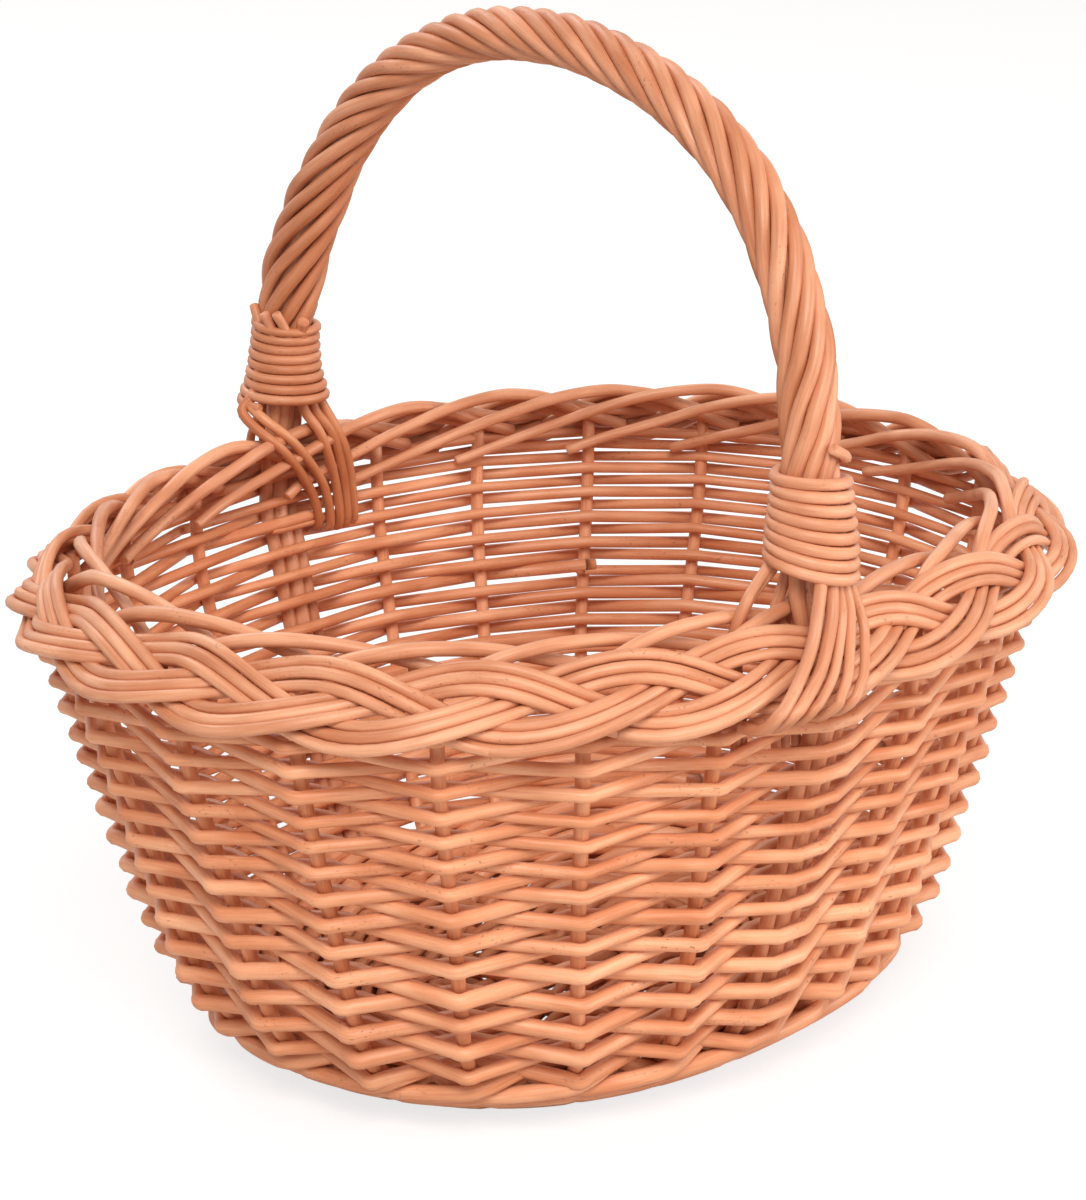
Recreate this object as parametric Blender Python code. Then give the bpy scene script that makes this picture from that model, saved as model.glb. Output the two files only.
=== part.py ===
# Oval willow foraging basket with a roped bow handle.
# Metres. +X runs along the long side, +Z is up, and the base rests on Z = 0.
# The origin is under the middle of the oval.

import bisect
import math

import bmesh
import bpy
from mathutils import Vector

# Oval plan
OVAL_ASPECT_SHARE = 0.797
OVAL_POWER = 2.17
STATION_COUNT = 23
FIRST_STATION_SHARE = 0.70 / STATION_COUNT
FAR_LEG_STATION = 5
NEAR_LEG_STATION = 16

# Wall line: half length of the oval and height, from the base's edge to the wall's top
BASE_HALF_LENGTH = 0.1038
WALL_TOP_HALF_LENGTH = 0.1925
SOCKET_DEPTH = 0.0138
SOCKET_HEIGHT = 0.0062
WALL_HEIGHT = 0.1643
WALL_FLARE_SHARES = (0.0, 0.121, 0.250, 0.380, 0.465, 0.532, 0.594, 0.731, 0.918, 1.0)
WALL_RISE_SHARES = (0.0025, 0.0316, 0.067, 0.110, 0.1645, 0.233, 0.321, 0.548, 0.862, 1.0)

# Rods
GAP = 0.0003
STAKE_RADIUS = 0.0027
STAKE_SIDES = 5
WEAVER_LOW_RADIUS = 0.0033
WEAVER_TOP_RADIUS = 0.0024
WEAVER_SIDES = 5
ROW_GAP = 0.0005
FIRST_ROW_RUN = 0.0063
ROW_TOP_CLEARANCE = 0.0030
BAND_COUNT = 7
KINK_CLEARANCE_SHARE = 1.04

# Base
BASE_THICKNESS = 0.0106
BASE_EDGE_ROUND = 0.0020
BASE_SIDES = 2 * STATION_COUNT
STICK_END_MARGIN = 0.0198
STICK_HEIGHT = 0.0075
LONG_STICK_RADIUS = 0.0030
LONG_STICK_COUNT = 3
SHORT_STICK_RADIUS = 0.0048
SHORT_STICK_COUNT = 5
SHORT_STICK_SPACING = 0.0260
STICK_SIDES = 8

# Plaited border, lying on the wall's top with its face turned outward and up
BORDER_SEAT = 0.0042
BORDER_SHIFT = -0.0077
PLAIT_SWING = 0.0126
PLAIT_DEPTH = 0.0043
PLAIT_ROLL = math.radians(8.0)
PLAIT_STRANDS = 3
STRAND_HALF_WIDTH = 0.0062
STRAND_HALF_THICKNESS = 0.0020
STRAND_FLAT_SHARE = 0.72
STEPS_PER_SPACING = 4
ROLL_RADIUS = 0.0024

# Handle: heights are above the middle of the plait
BOW_INSET = 0.0074
BOW_RISE = 0.1655
BOW_POWER = 2.15
BOW_LEAN = 0.0080
BOW_FAR_SWAY = -0.0028
BOW_NEAR_SWAY = 0.0055
BOW_SWAY_PLACE_SHARES = (0.098, 0.711)
BOW_SWAY_REACH_SHARES = (0.095, 0.167)
BOW_RADIUS = 0.0060
BOW_SIDES = 6
BOW_STEPS = 30
BOW_FOOT_HEIGHT = 0.0178
BOW_SWELL_HEIGHT = 0.0198
BOW_SWELL_LENGTH = 0.0110
LEG_RADIUS = 0.0042
LEG_BEND_SHARE = 0.87
LEG_TIP_SHARE = 0.16
ROPE_STRANDS = 4
ROPE_INNER_RADIUS = 0.0078
ROPE_OUTER_RADIUS = 0.0114
ROPE_TURNS = 4.75
ROPE_STEPS = 48
ROPE_CROWN_SHARE = 1.05
ROPE_SHOULDER_SHARE = 0.95
ROPE_END_HEIGHT = 0.0248
FINE_STEPS = 400

# Bindings round the feet of the roping
BINDING_RADIUS = 0.0017
BINDING_TURNS = 8
BINDING_STEPS = 10
BINDING_SIDES = 4
BINDING_PITCH = 0.0039
BINDING_FOOT_HEIGHT = 0.0273

# Tails of the roping rods, in shares of the plait's half width and of the height of its face,
# leaning back along the rim by shares of the spacing between stations
TAIL_OUTER_ACROSS_SHARES = (-0.76, -0.52, -0.24, 0.18, 0.60, 0.92, 1.12, 1.22, 1.22, 1.20)
TAIL_OUTER_FACE_SHARES = (2.15, 1.65, 1.19, 0.95, 0.91, 0.93, 0.68, 0.08, -0.60, -1.20)
TAIL_INNER_ACROSS_SHARES = (-1.48, -1.33, -1.18, -1.00)
TAIL_INNER_FACE_SHARES = (0.53, -0.31, -1.20, -1.72)
TAIL_OUTER_LEAN_SHARES = (0.03, 0.05, 0.10, 0.20, 0.37, 0.51, 0.60, 0.64, 0.64, 0.64)
TAIL_INNER_LEAN_SHARES = (0.0, 0.02, 0.07, 0.12, 0.18, 0.23, 0.27, 0.29)
TAIL_INNER_DROP = 0.0240
TAIL_INNER_DROP_SHARES = (0.15, 0.40, 0.70, 1.0)
TAIL_HALF_THICKNESS = 0.0018
TAIL_TOP_HALF_WIDTH = 0.0085
TAIL_OUTER_FOOT_HALF_WIDTH = 0.0140
TAIL_INNER_FOOT_HALF_WIDTH = 0.0110
TAIL_LOBES = 4
TAIL_GROOVE_SHARE = 0.35

# Sizes that follow
STICK_HALF_LENGTH = BASE_HALF_LENGTH - STICK_END_MARGIN
PLAIT_HALF_WIDTH = PLAIT_SWING + STRAND_HALF_WIDTH
PLAIT_FACE = PLAIT_DEPTH + STRAND_HALF_THICKNESS
ROLL_ACROSS = ROLL_RADIUS - PLAIT_HALF_WIDTH
ROLL_DEPTH = -(PLAIT_FACE + 2 * GAP + ROLL_RADIUS)
TAIL_FACE = PLAIT_FACE + GAP + TAIL_HALF_THICKNESS
LEG_STATIONS = (FAR_LEG_STATION, NEAR_LEG_STATION)

WILLOW = (0.62, 0.33, 0.17)


def signed_power(value, power):
    return math.copysign(abs(value) ** power, value)


def unit_oval(angle):
    """A point of the plan oval whose half length is one."""
    x = signed_power(math.cos(angle), 2 / OVAL_POWER)
    y = signed_power(math.sin(angle), 2 / OVAL_POWER)
    return Vector((x, y * OVAL_ASPECT_SHARE, 0))


def measure_oval(steps=1440):
    """Angles and the share of the oval's girth passed at each of them."""
    angles = [2 * math.pi * k / steps for k in range(steps + 1)]
    points = [unit_oval(a) for a in angles]
    run = [0.0]
    for a, b in zip(points, points[1:]):
        run.append(run[-1] + (b - a).length)
    return angles, [r / run[-1] for r in run]


ANGLES, GIRTH_SHARES = measure_oval()


def angle_at(share):
    turns = math.floor(share)
    part = share - turns
    k = min(max(bisect.bisect_right(GIRTH_SHARES, part) - 1, 0), len(ANGLES) - 2)
    span = GIRTH_SHARES[k + 1] - GIRTH_SHARES[k]
    return ANGLES[k] + (ANGLES[k + 1] - ANGLES[k]) * (part - GIRTH_SHARES[k]) / span


def ring_point(share, half_length, height):
    return unit_oval(angle_at(share)) * half_length + Vector((0, 0, height))


def ring_out(share):
    """Level direction out of the oval at a share of its girth."""
    p = unit_oval(angle_at(share))
    x = signed_power(p.x, OVAL_POWER - 1)
    y = signed_power(p.y / OVAL_ASPECT_SHARE, OVAL_POWER - 1) / OVAL_ASPECT_SHARE
    return Vector((x, y, 0)).normalized()


def station_share(k):
    return FIRST_STATION_SHARE + k / STATION_COUNT


# Wall line, measured on the short side where the rows lie closest
WALL_KNOTS = [(BASE_HALF_LENGTH - SOCKET_DEPTH, SOCKET_HEIGHT)]
for flare, climb in zip(WALL_FLARE_SHARES, WALL_RISE_SHARES):
    WALL_KNOTS.append((BASE_HALF_LENGTH + (WALL_TOP_HALF_LENGTH - BASE_HALF_LENGTH) * flare,
                       SOCKET_HEIGHT + (WALL_HEIGHT - SOCKET_HEIGHT) * climb))
WALL_RUN = [0.0]
for (r0, z0), (r1, z1) in zip(WALL_KNOTS, WALL_KNOTS[1:]):
    WALL_RUN.append(WALL_RUN[-1] + math.hypot((r1 - r0) * OVAL_ASPECT_SHARE, z1 - z0))


def wall_slopes():
    """Direction of the wall line at each knot, in half length and height per run."""
    parts = []
    for k in range(len(WALL_KNOTS) - 1):
        run = WALL_RUN[k + 1] - WALL_RUN[k]
        (r0, z0), (r1, z1) = WALL_KNOTS[k], WALL_KNOTS[k + 1]
        parts.append(Vector(((r1 - r0) / run, (z1 - z0) / run)))
    inner = [(a + b) / 2 for a, b in zip(parts, parts[1:])]
    return [parts[0]] + inner + [parts[-1]]


SLOPES = wall_slopes()


def wall_frame(share, run):
    """Point of the wall line, its upward direction and the direction out of the wall."""
    k = min(max(bisect.bisect_right(WALL_RUN, run) - 1, 0), len(WALL_KNOTS) - 2)
    f = (run - WALL_RUN[k]) / (WALL_RUN[k + 1] - WALL_RUN[k])
    (r0, z0), (r1, z1) = WALL_KNOTS[k], WALL_KNOTS[k + 1]
    point = ring_point(share, r0 + (r1 - r0) * f, z0 + (z1 - z0) * f)
    slope = SLOPES[k].lerp(SLOPES[k + 1], f)
    rise = (unit_oval(angle_at(share)) * slope.x + Vector((0, 0, slope.y))).normalized()
    out = ring_out(share)
    along = Vector((-out.y, out.x, 0))
    return point, rise, along.cross(rise).normalized()


def border_frame(share):
    """Middle of the plait, its direction across (outward and down) and out of its face."""
    out = ring_out(share)
    up = Vector((0, 0, 1))
    across, face = (out - up).normalized(), (out + up).normalized()
    seat = ring_point(share, WALL_TOP_HALF_LENGTH, WALL_HEIGHT)
    return seat + across * BORDER_SHIFT + face * (PLAIT_FACE + BORDER_SEAT), across, face


def willow(name, tint):
    m = bpy.data.materials.new(name)
    m.use_nodes = True
    shader = m.node_tree.nodes["Principled BSDF"]
    colour = tuple(min(c * tint, 1.0) for c in WILLOW)
    shader.inputs["Base Color"].default_value = colour + (1.0,)
    shader.inputs["Roughness"].default_value = 0.48
    shader.inputs["Metallic"].default_value = 0.0
    m.diffuse_color = colour + (1.0,)
    return m


def add_object(name, bm, tint, smooth=True):
    bmesh.ops.recalc_face_normals(bm, faces=bm.faces)
    mesh = bpy.data.meshes.new(name)
    bm.to_mesh(mesh)
    bm.free()
    mesh.materials.append(willow(name, tint))
    if smooth:
        mesh.shade_smooth()
    ob = bpy.data.objects.new(name, mesh)
    bpy.context.scene.collection.objects.link(ob)
    return ob


def grow(bm, face, ring):
    """Extrude one end face on to the next ring of points."""
    if face is None:
        return bm.faces.new([bm.verts.new(p) for p in ring])
    grown = bmesh.ops.extrude_face_region(bm, geom=[face, *face.edges, *face.verts])["geom"]
    face = next(g for g in grown if isinstance(g, bmesh.types.BMFace))
    for vert, p in zip(face.verts, ring):
        vert.co = p
    return face


def round_section(radius, sides):
    """Round rod section with one corner up."""
    turns = [2 * math.pi * k / sides for k in range(sides)]
    return [(radius * math.sin(a), radius * math.cos(a)) for a in turns]


def flat_section(half_width, half_thickness):
    inner = half_width * STRAND_FLAT_SHARE
    return [(-half_width, 0), (-inner, half_thickness), (inner, half_thickness),
            (half_width, 0), (inner, -half_thickness), (-inner, -half_thickness)]


def path_tangents(points):
    steps = [(b - a).normalized() for a, b in zip(points, points[1:])]
    inner = [(a + b).normalized() for a, b in zip(steps, steps[1:])]
    return [steps[0]] + inner + [steps[-1]]


def sweep(bm, points, ups, sections, start_plane=None, end_plane=None):
    """Extrude a section face from point to point, and trim the ends to planes where given."""
    tangents = path_tangents(points)
    face = None
    for k, (point, tangent, up) in enumerate(zip(points, tangents, ups)):
        side = tangent.cross(up).normalized()
        top = side.cross(tangent)
        section = sections[k] if isinstance(sections[0], list) else sections
        ring = [point + side * x + top * y for x, y in section]
        plane = start_plane if k == 0 else end_plane if k == len(points) - 1 else None
        if plane is not None:
            seat, normal = plane
            lean = tangent.dot(normal)
            ring = [p + tangent * ((seat - p).dot(normal) / lean) for p in ring]
        face = grow(bm, face, ring)


def swept(name, tint, points, ups, sections, start_plane=None, end_plane=None):
    bm = bmesh.new()
    sweep(bm, points, ups, sections, start_plane, end_plane)
    return add_object(name, bm, tint)


def cut(target, cutter_mesh_builder, name):
    """Take a helper shape out of a piece."""
    bm = bmesh.new()
    cutter_mesh_builder(bm)
    helper = add_object(name, bm, 1.0, smooth=False)
    helper.hide_render = True
    helper.display_type = "WIRE"
    mod = target.modifiers.new(name, "BOOLEAN")
    mod.operation = "DIFFERENCE"
    mod.solver = "EXACT"
    mod.object = helper
    return helper


def box(bm, low, high):
    made = bmesh.ops.create_cube(bm, size=1.0)["verts"]
    for v in made:
        v.co = Vector([l + (h - l) * (c + 0.5) for l, h, c in zip(low, high, v.co)])


# Base: pierced short sticks, long sticks through them, and the woven oval around
def oval_half_width(x, half_length):
    inside = max(1 - abs(x / half_length) ** OVAL_POWER, 0)
    return OVAL_ASPECT_SHARE * half_length * inside ** (1 / OVAL_POWER)


def long_stick_offsets():
    step = 2 * LONG_STICK_RADIUS + GAP
    return [(k - (LONG_STICK_COUNT - 1) / 2) * step for k in range(LONG_STICK_COUNT)]


def short_stick_places():
    return [(k - (SHORT_STICK_COUNT - 1) / 2) * SHORT_STICK_SPACING for k in range(SHORT_STICK_COUNT)]


def build_base():
    up = Vector((0, 0, 1))
    slot_half = LONG_STICK_COUNT * (LONG_STICK_RADIUS + GAP / 2) + GAP / 2
    slot_half_height = LONG_STICK_RADIUS + GAP
    for k, y in enumerate(long_stick_offsets()):
        ends = [Vector((s * STICK_HALF_LENGTH, y, STICK_HEIGHT)) for s in (-1, 1)]
        section = round_section(LONG_STICK_RADIUS, STICK_SIDES)
        swept(f"base_long_stick_{k + 1}", 0.97, ends, [up, up], section)
    for k, x in enumerate(short_stick_places()):
        half = oval_half_width(x, STICK_HALF_LENGTH)
        ends = [Vector((x, s * half, STICK_HEIGHT)) for s in (-1, 1)]
        section = round_section(SHORT_STICK_RADIUS, STICK_SIDES)
        stick = swept(f"base_short_stick_{k + 1}", 0.9, ends, [up, up], section)
        reach = SHORT_STICK_RADIUS * 2
        cut(stick, lambda bm, x=x, reach=reach: box(
            bm, (x - reach, -slot_half, STICK_HEIGHT - slot_half_height),
            (x + reach, slot_half, STICK_HEIGHT + slot_half_height)), f"slit_{k + 1}")

    bm = bmesh.new()
    rim = [bm.verts.new(ring_point(k / BASE_SIDES, BASE_HALF_LENGTH, 0)) for k in range(BASE_SIDES)]
    floor = bm.faces.new(rim)
    grown = bmesh.ops.extrude_face_region(bm, geom=[floor])["geom"]
    bmesh.ops.translate(bm, vec=up * BASE_THICKNESS, verts=[g for g in grown if isinstance(g, bmesh.types.BMVert)])
    bmesh.ops.recalc_face_normals(bm, faces=bm.faces)
    edges = [e for e in bm.edges if abs(e.verts[0].co.z - e.verts[1].co.z) < GAP]
    bmesh.ops.bevel(bm, geom=edges, offset=BASE_EDGE_ROUND, segments=1, affect="EDGES", profile=0.5, material=-1)
    slab = add_object("base_weave", bm, 0.94)

    top = BASE_THICKNESS * 2

    def grooves_along(bm):
        reach = STICK_HALF_LENGTH + GAP
        box(bm, (-reach, -slot_half, STICK_HEIGHT - slot_half_height), (reach, slot_half, top))

    cut(slab, grooves_along, "groove_long")
    for k, x in enumerate(short_stick_places()):
        half = oval_half_width(x, STICK_HALF_LENGTH) + GAP
        width = SHORT_STICK_RADIUS + GAP

        def groove(bm, x=x, half=half, width=width):
            box(bm, (x - width, -half, STICK_HEIGHT - width), (x + width, half, top))

        cut(slab, groove, f"groove_short_{k + 1}")

    def sockets(bm):
        for k in range(STATION_COUNT):
            if k in LEG_STATIONS:
                continue
            share = station_share(k)
            a, b = (ring_point(share, r, z) for r, z in WALL_KNOTS[:2])
            reach = (b - a).normalized()
            sweep(bm, [a - reach * GAP, b + reach * SOCKET_DEPTH], [up, up],
                  round_section(STAKE_RADIUS + GAP, STICK_SIDES))

    cut(slab, sockets, "stake_sockets")


# Side stakes, from their sockets in the base up to the underside of the plait
def stake_path(share):
    points = [ring_point(share, r, z) for r, z in WALL_KNOTS]
    middle, _, face = border_frame(share)
    seat = middle - face * (PLAIT_FACE + GAP)
    rise = (points[-1] - points[-2]).normalized()
    points[-1] = points[-2] + rise * ((seat - points[-2]).dot(face) / rise.dot(face))
    return points, face


def build_stakes():
    count = 0
    for k in range(STATION_COUNT):
        if k in LEG_STATIONS:
            continue
        count += 1
        share = station_share(k)
        points, face = stake_path(share)
        out = ring_out(share)
        along = Vector((-out.y, out.x, 0))
        section = round_section(STAKE_RADIUS, STAKE_SIDES)
        ups = [along.cross(t) for t in path_tangents(points)]
        swept(f"side_stake_{count:02d}", 0.92 + 0.03 * (k % 3), points, ups, section, end_plane=(points[-1], face))


# Side weave: rods climbing in a spiral, inside one stake and outside the next, thinner and
# closer towards the top
def weaver_radius(climbed):
    return WEAVER_LOW_RADIUS + (WEAVER_TOP_RADIUS - WEAVER_LOW_RADIUS) * climbed


def row_climbs():
    """Share of the wall's woven height reached at each step from stake to stake."""
    room = WALL_RUN[-1] - ROW_TOP_CLEARANCE - WALL_RUN[1] - FIRST_ROW_RUN
    climbs = [0.0]
    while climbs[-1] < 1:
        pitch = weaver_radius(climbs[-1]) * (1 + math.cos(math.pi / WEAVER_SIDES)) + ROW_GAP
        climbs.append(climbs[-1] + pitch / STATION_COUNT / room)
    climbs.pop()
    return [c / climbs[-1] for c in climbs]


ROW_CLIMBS = row_climbs()


def weave_point(m):
    """Middle of the weaver at a step, the wall's upward direction there, and the rod's radius."""
    m = min(max(m, 0), len(ROW_CLIMBS) - 1)
    station = m % STATION_COUNT
    share = station_share(station)
    first, last = WALL_RUN[1] + FIRST_ROW_RUN, WALL_RUN[-1] - ROW_TOP_CLEARANCE
    point, rise, out = wall_frame(share, first + (last - first) * ROW_CLIMBS[m])
    upright = LEG_RADIUS if station in LEG_STATIONS else STAKE_RADIUS
    radius = weaver_radius(ROW_CLIMBS[m])
    offset = (upright + GAP + radius) * KINK_CLEARANCE_SHARE
    side = 1 if m % 2 == 0 else -1
    return point + out * offset * side, rise, radius


def butt_plane(m, side):
    """Plane where one weaver ends against the next, square to the kink there."""
    points = [weave_point(m + k)[0] for k in (-1, 0, 1)]
    here = points[1]
    runs = [b - a for a, b in zip(points, points[1:]) if (b - a).length > GAP]
    along = sum((r.normalized() for r in runs), Vector()).normalized()
    return here + along * GAP / 2 * side, along


def build_weave():
    steps = len(ROW_CLIMBS) - 1
    seams = [round(steps * k / BAND_COUNT) for k in range(BAND_COUNT + 1)]
    for band, (first, last) in enumerate(zip(seams, seams[1:])):
        made = [weave_point(m) for m in range(first, last + 1)]
        sections = [round_section(radius, WEAVER_SIDES) for _, _, radius in made]
        swept(f"side_weaver_{band + 1}", 1.0 + 0.02 * (band % 3), [p for p, _, _ in made],
              [rise for _, rise, _ in made], sections, butt_plane(first, 1), butt_plane(last, -1))


# Plaited border in three flat strands, parted where the legs of the bow pass through
def plait_point(share, strand):
    turn = 2 * math.pi * ((share - FIRST_STATION_SHARE) * STATION_COUNT + strand) / PLAIT_STRANDS
    middle, across, face = border_frame(share)
    roll = PLAIT_ROLL * math.cos(turn)
    point = middle + across * PLAIT_SWING * math.sin(turn) - face * PLAIT_DEPTH * math.sin(2 * turn)
    return point, face * math.cos(roll) + across * math.sin(roll)


def leg_bend(share):
    """Where a leg of the bow leaves the wall line, just under the plait."""
    (r0, z0), (r1, z1) = WALL_KNOTS[-2], WALL_KNOTS[-1]
    f = LEG_BEND_SHARE
    return ring_point(share, r0 + (r1 - r0) * f, z0 + (z1 - z0) * f)


def bow_foot(station):
    """Foot of the arch, a little inside the middle of the plait."""
    share = station_share(station)
    middle, _, _ = border_frame(share)
    return middle - ring_out(share) * BOW_INSET + Vector((0, 0, BOW_FOOT_HEIGHT))


def leg_face(station, side):
    """Plane beside a leg of the bow where the plait stops, with its normal along the rim."""
    share = station_share(station)
    out = ring_out(share)
    along = Vector((-out.y, out.x, 0))
    low, high = leg_bend(share), bow_foot(station)
    middle, _, _ = border_frame(share)
    at_border = low.lerp(high, (middle.z - low.z) / (high.z - low.z))
    return at_border + along * (LEG_RADIUS + 3 * GAP) * side, along


def border_shares(side, steps):
    """Shares from one leg of the bow round to the other."""
    a = station_share(FAR_LEG_STATION)
    b = station_share(NEAR_LEG_STATION)
    if side == 1:
        a, b = b, a + 1
    return [a + (b - a) * k / steps for k in range(steps + 1)]


def build_border():
    section = flat_section(STRAND_HALF_WIDTH, STRAND_HALF_THICKNESS)
    spacings = (NEAR_LEG_STATION - FAR_LEG_STATION, STATION_COUNT - NEAR_LEG_STATION + FAR_LEG_STATION)
    for side, name in ((0, "left"), (1, "right")):
        shares = border_shares(side, spacings[side] * STEPS_PER_SPACING)
        legs = (FAR_LEG_STATION, NEAR_LEG_STATION) if side == 0 else (NEAR_LEG_STATION, FAR_LEG_STATION)
        ends = leg_face(legs[0], 1), leg_face(legs[1], -1)
        for strand in range(PLAIT_STRANDS):
            pairs = [plait_point(s, strand) for s in shares]
            swept(f"border_strand_{name}_{strand + 1}", 1.02 + 0.02 * strand,
                  [p for p, _ in pairs], [u for _, u in pairs], section, ends[0], ends[1])
        points = []
        for s in border_shares(side, spacings[side] * 2):
            middle, across, face = border_frame(s)
            points.append(middle + across * ROLL_ACROSS + face * ROLL_DEPTH)
        ups = [Vector((0, 0, 1))] * len(points)
        swept(f"border_roll_{name}", 0.98, points, ups, round_section(ROLL_RADIUS, STAKE_SIDES), ends[0], ends[1])


# Bow handle: an arch between the two leg stations, its legs following the wall line down
def bow_sway(f):
    """How far each shoulder of the arch stands out from its even curve, towards the near foot."""
    total = 0
    for size, place, reach in zip((BOW_FAR_SWAY, BOW_NEAR_SWAY), BOW_SWAY_PLACE_SHARES, BOW_SWAY_REACH_SHARES):
        total += size * max(1 - ((f - place) / reach) ** 2, 0) ** 2
    return total


def bow_arch_point(f):
    """Point of the arch: 0 is the far foot, 1 the near foot."""
    far, near = bow_foot(FAR_LEG_STATION), bow_foot(NEAR_LEG_STATION)
    a = math.pi * f
    level = far.lerp(near, (1 - signed_power(math.cos(a), 2 / BOW_POWER)) / 2)
    rise = abs(math.sin(a)) ** (2 / BOW_POWER)
    sway = (near - far).normalized() * bow_sway(f)
    return level + sway + Vector((BOW_LEAN, 0, BOW_RISE)) * rise


def even_points(points, steps):
    """Points at even distances along a fine path."""
    run = run_along(points)
    return [point_at(points, run, run[-1] * k / steps) for k in range(steps + 1)]


def run_along(points):
    run = [0.0]
    for a, b in zip(points, points[1:]):
        run.append(run[-1] + (b - a).length)
    return run


def point_at(points, run, want):
    j = min(max(bisect.bisect_right(run, want) - 1, 0), len(points) - 2)
    return points[j].lerp(points[j + 1], (want - run[j]) / (run[j + 1] - run[j]))


def bow_arch(steps):
    return even_points([bow_arch_point(k / FINE_STEPS) for k in range(FINE_STEPS + 1)], steps)


def above_border(height):
    middle, _, _ = border_frame(station_share(FAR_LEG_STATION))
    return middle.z + height


def leg_points(station):
    """Leg from its tip low in the weave up to the wall's top."""
    share = station_share(station)
    tip = WALL_HEIGHT * LEG_TIP_SHARE
    return [ring_point(share, r, z) for r, z in WALL_KNOTS[:-1] if z > tip] + [leg_bend(share)]


def bow_side():
    """Level direction square to the bow's plane."""
    level = (bow_foot(NEAR_LEG_STATION) - bow_foot(FAR_LEG_STATION)).normalized()
    return Vector((level.y, -level.x, 0))


def build_bow():
    far, near = leg_points(FAR_LEG_STATION), leg_points(NEAR_LEG_STATION)[::-1]
    points = far + bow_arch(BOW_STEPS) + near
    sections = []
    for p in points:
        blend = min(max((p.z - above_border(BOW_SWELL_HEIGHT)) / BOW_SWELL_LENGTH, 0), 1)
        sections.append(round_section(LEG_RADIUS + (BOW_RADIUS - LEG_RADIUS) * blend, BOW_SIDES))
    swept("handle_bow", 0.9, points, [bow_side()] * len(points), sections)


def split_quad(a, b):
    """Cut a twisted four-sided face along one diagonal, the same way on both sides of a seam."""
    quad = next(f for f in a.link_faces if b in f.verts and len(f.verts) == 4)
    bmesh.utils.face_split(quad, a, b)


def build_rope():
    """Ribbons wound side by side round the bow, from one foot to the other."""
    fine = [p for p in bow_arch(FINE_STEPS) if p.z >= above_border(ROPE_END_HEIGHT)]
    points = even_points(fine, ROPE_STEPS)
    side = bow_side()
    half_angle = math.pi / ROPE_STRANDS
    trim = 1.2 * GAP / (ROPE_INNER_RADIUS + ROPE_OUTER_RADIUS)
    low, high = ROPE_INNER_RADIUS, ROPE_OUTER_RADIUS
    shape = [(-half_angle + trim, low), (0, low * ROPE_CROWN_SHARE), (half_angle - trim, low),
             (half_angle - trim, high * ROPE_SHOULDER_SHARE), (0, high),
             (-half_angle + trim, high * ROPE_SHOULDER_SHARE)]
    for strand in range(ROPE_STRANDS):
        bm = bmesh.new()
        face = None
        for k, (p, t) in enumerate(zip(points, path_tangents(points))):
            outer = side.cross(t).normalized()
            turn = 2 * math.pi * (ROPE_TURNS * k / ROPE_STEPS + strand / ROPE_STRANDS)
            ring = [p + (outer * math.cos(turn + a) + side * math.sin(turn + a)) * r for a, r in shape]
            old = list(face.verts) if face else None
            face = grow(bm, face, ring)
            if old:
                split_quad(old[2], face.verts[3])
                split_quad(old[0], face.verts[5])
        add_object(f"handle_rope_strand_{strand + 1}", bm, 0.96 + 0.03 * strand)


# Bindings: a thin rod coiled round the foot of the roping on each side
def build_bindings():
    arch = bow_arch(FINE_STEPS)
    side = bow_side()
    radius = (ROPE_OUTER_RADIUS + GAP + BINDING_RADIUS) / math.cos(math.pi / BINDING_STEPS)
    for name, path in (("far", arch), ("near", arch[::-1])):
        path = [p for p in path[:FINE_STEPS // 2] if p.z >= above_border(BINDING_FOOT_HEIGHT)]
        run = run_along(path)
        tangents = path_tangents(path)
        points = []
        ups = []
        for k in range(BINDING_TURNS * BINDING_STEPS + 1):
            want = BINDING_PITCH * k / BINDING_STEPS
            t = point_at(tangents, run, want).normalized()
            outer = side.cross(t).normalized()
            turn = 2 * math.pi * k / BINDING_STEPS
            points.append(point_at(path, run, want) + (outer * math.cos(turn) + side * math.sin(turn)) * radius)
            ups.append(t)
        swept(f"handle_binding_{name}", 1.06, points, ups, round_section(BINDING_RADIUS, BINDING_SIDES))


# Tails: the ends of the roping rods fanned over the plait and down inside the wall
def lobed_section(half_width, half_thickness):
    points = []
    for k in range(2 * TAIL_LOBES + 1):
        crest = 1 if k % 2 else TAIL_GROOVE_SHARE
        points.append((half_width * (k / TAIL_LOBES - 1), half_thickness * crest))
    return points + [(half_width, -half_thickness), (-half_width, -half_thickness)]


def tail_on_plait(places, across_shares, face_shares):
    points = []
    for place, a, f in zip(places, across_shares, face_shares):
        middle, across, face = border_frame(place)
        points.append(middle + across * (PLAIT_HALF_WIDTH * a) + face * (TAIL_FACE * f))
    return points


def tail_down_wall(places):
    """Points down the inside of the wall, resting on the weavers that pass inside the leg."""
    kink = (LEG_RADIUS + GAP + WEAVER_TOP_RADIUS) * KINK_CLEARANCE_SHARE
    depth = kink + WEAVER_TOP_RADIUS + 3 * GAP + TAIL_HALF_THICKNESS
    points = []
    for place, s in zip(places, TAIL_INNER_DROP_SHARES):
        point, _, out = wall_frame(place, WALL_RUN[-1] - TAIL_INNER_DROP * s)
        points.append(point - out * depth)
    return points


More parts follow.
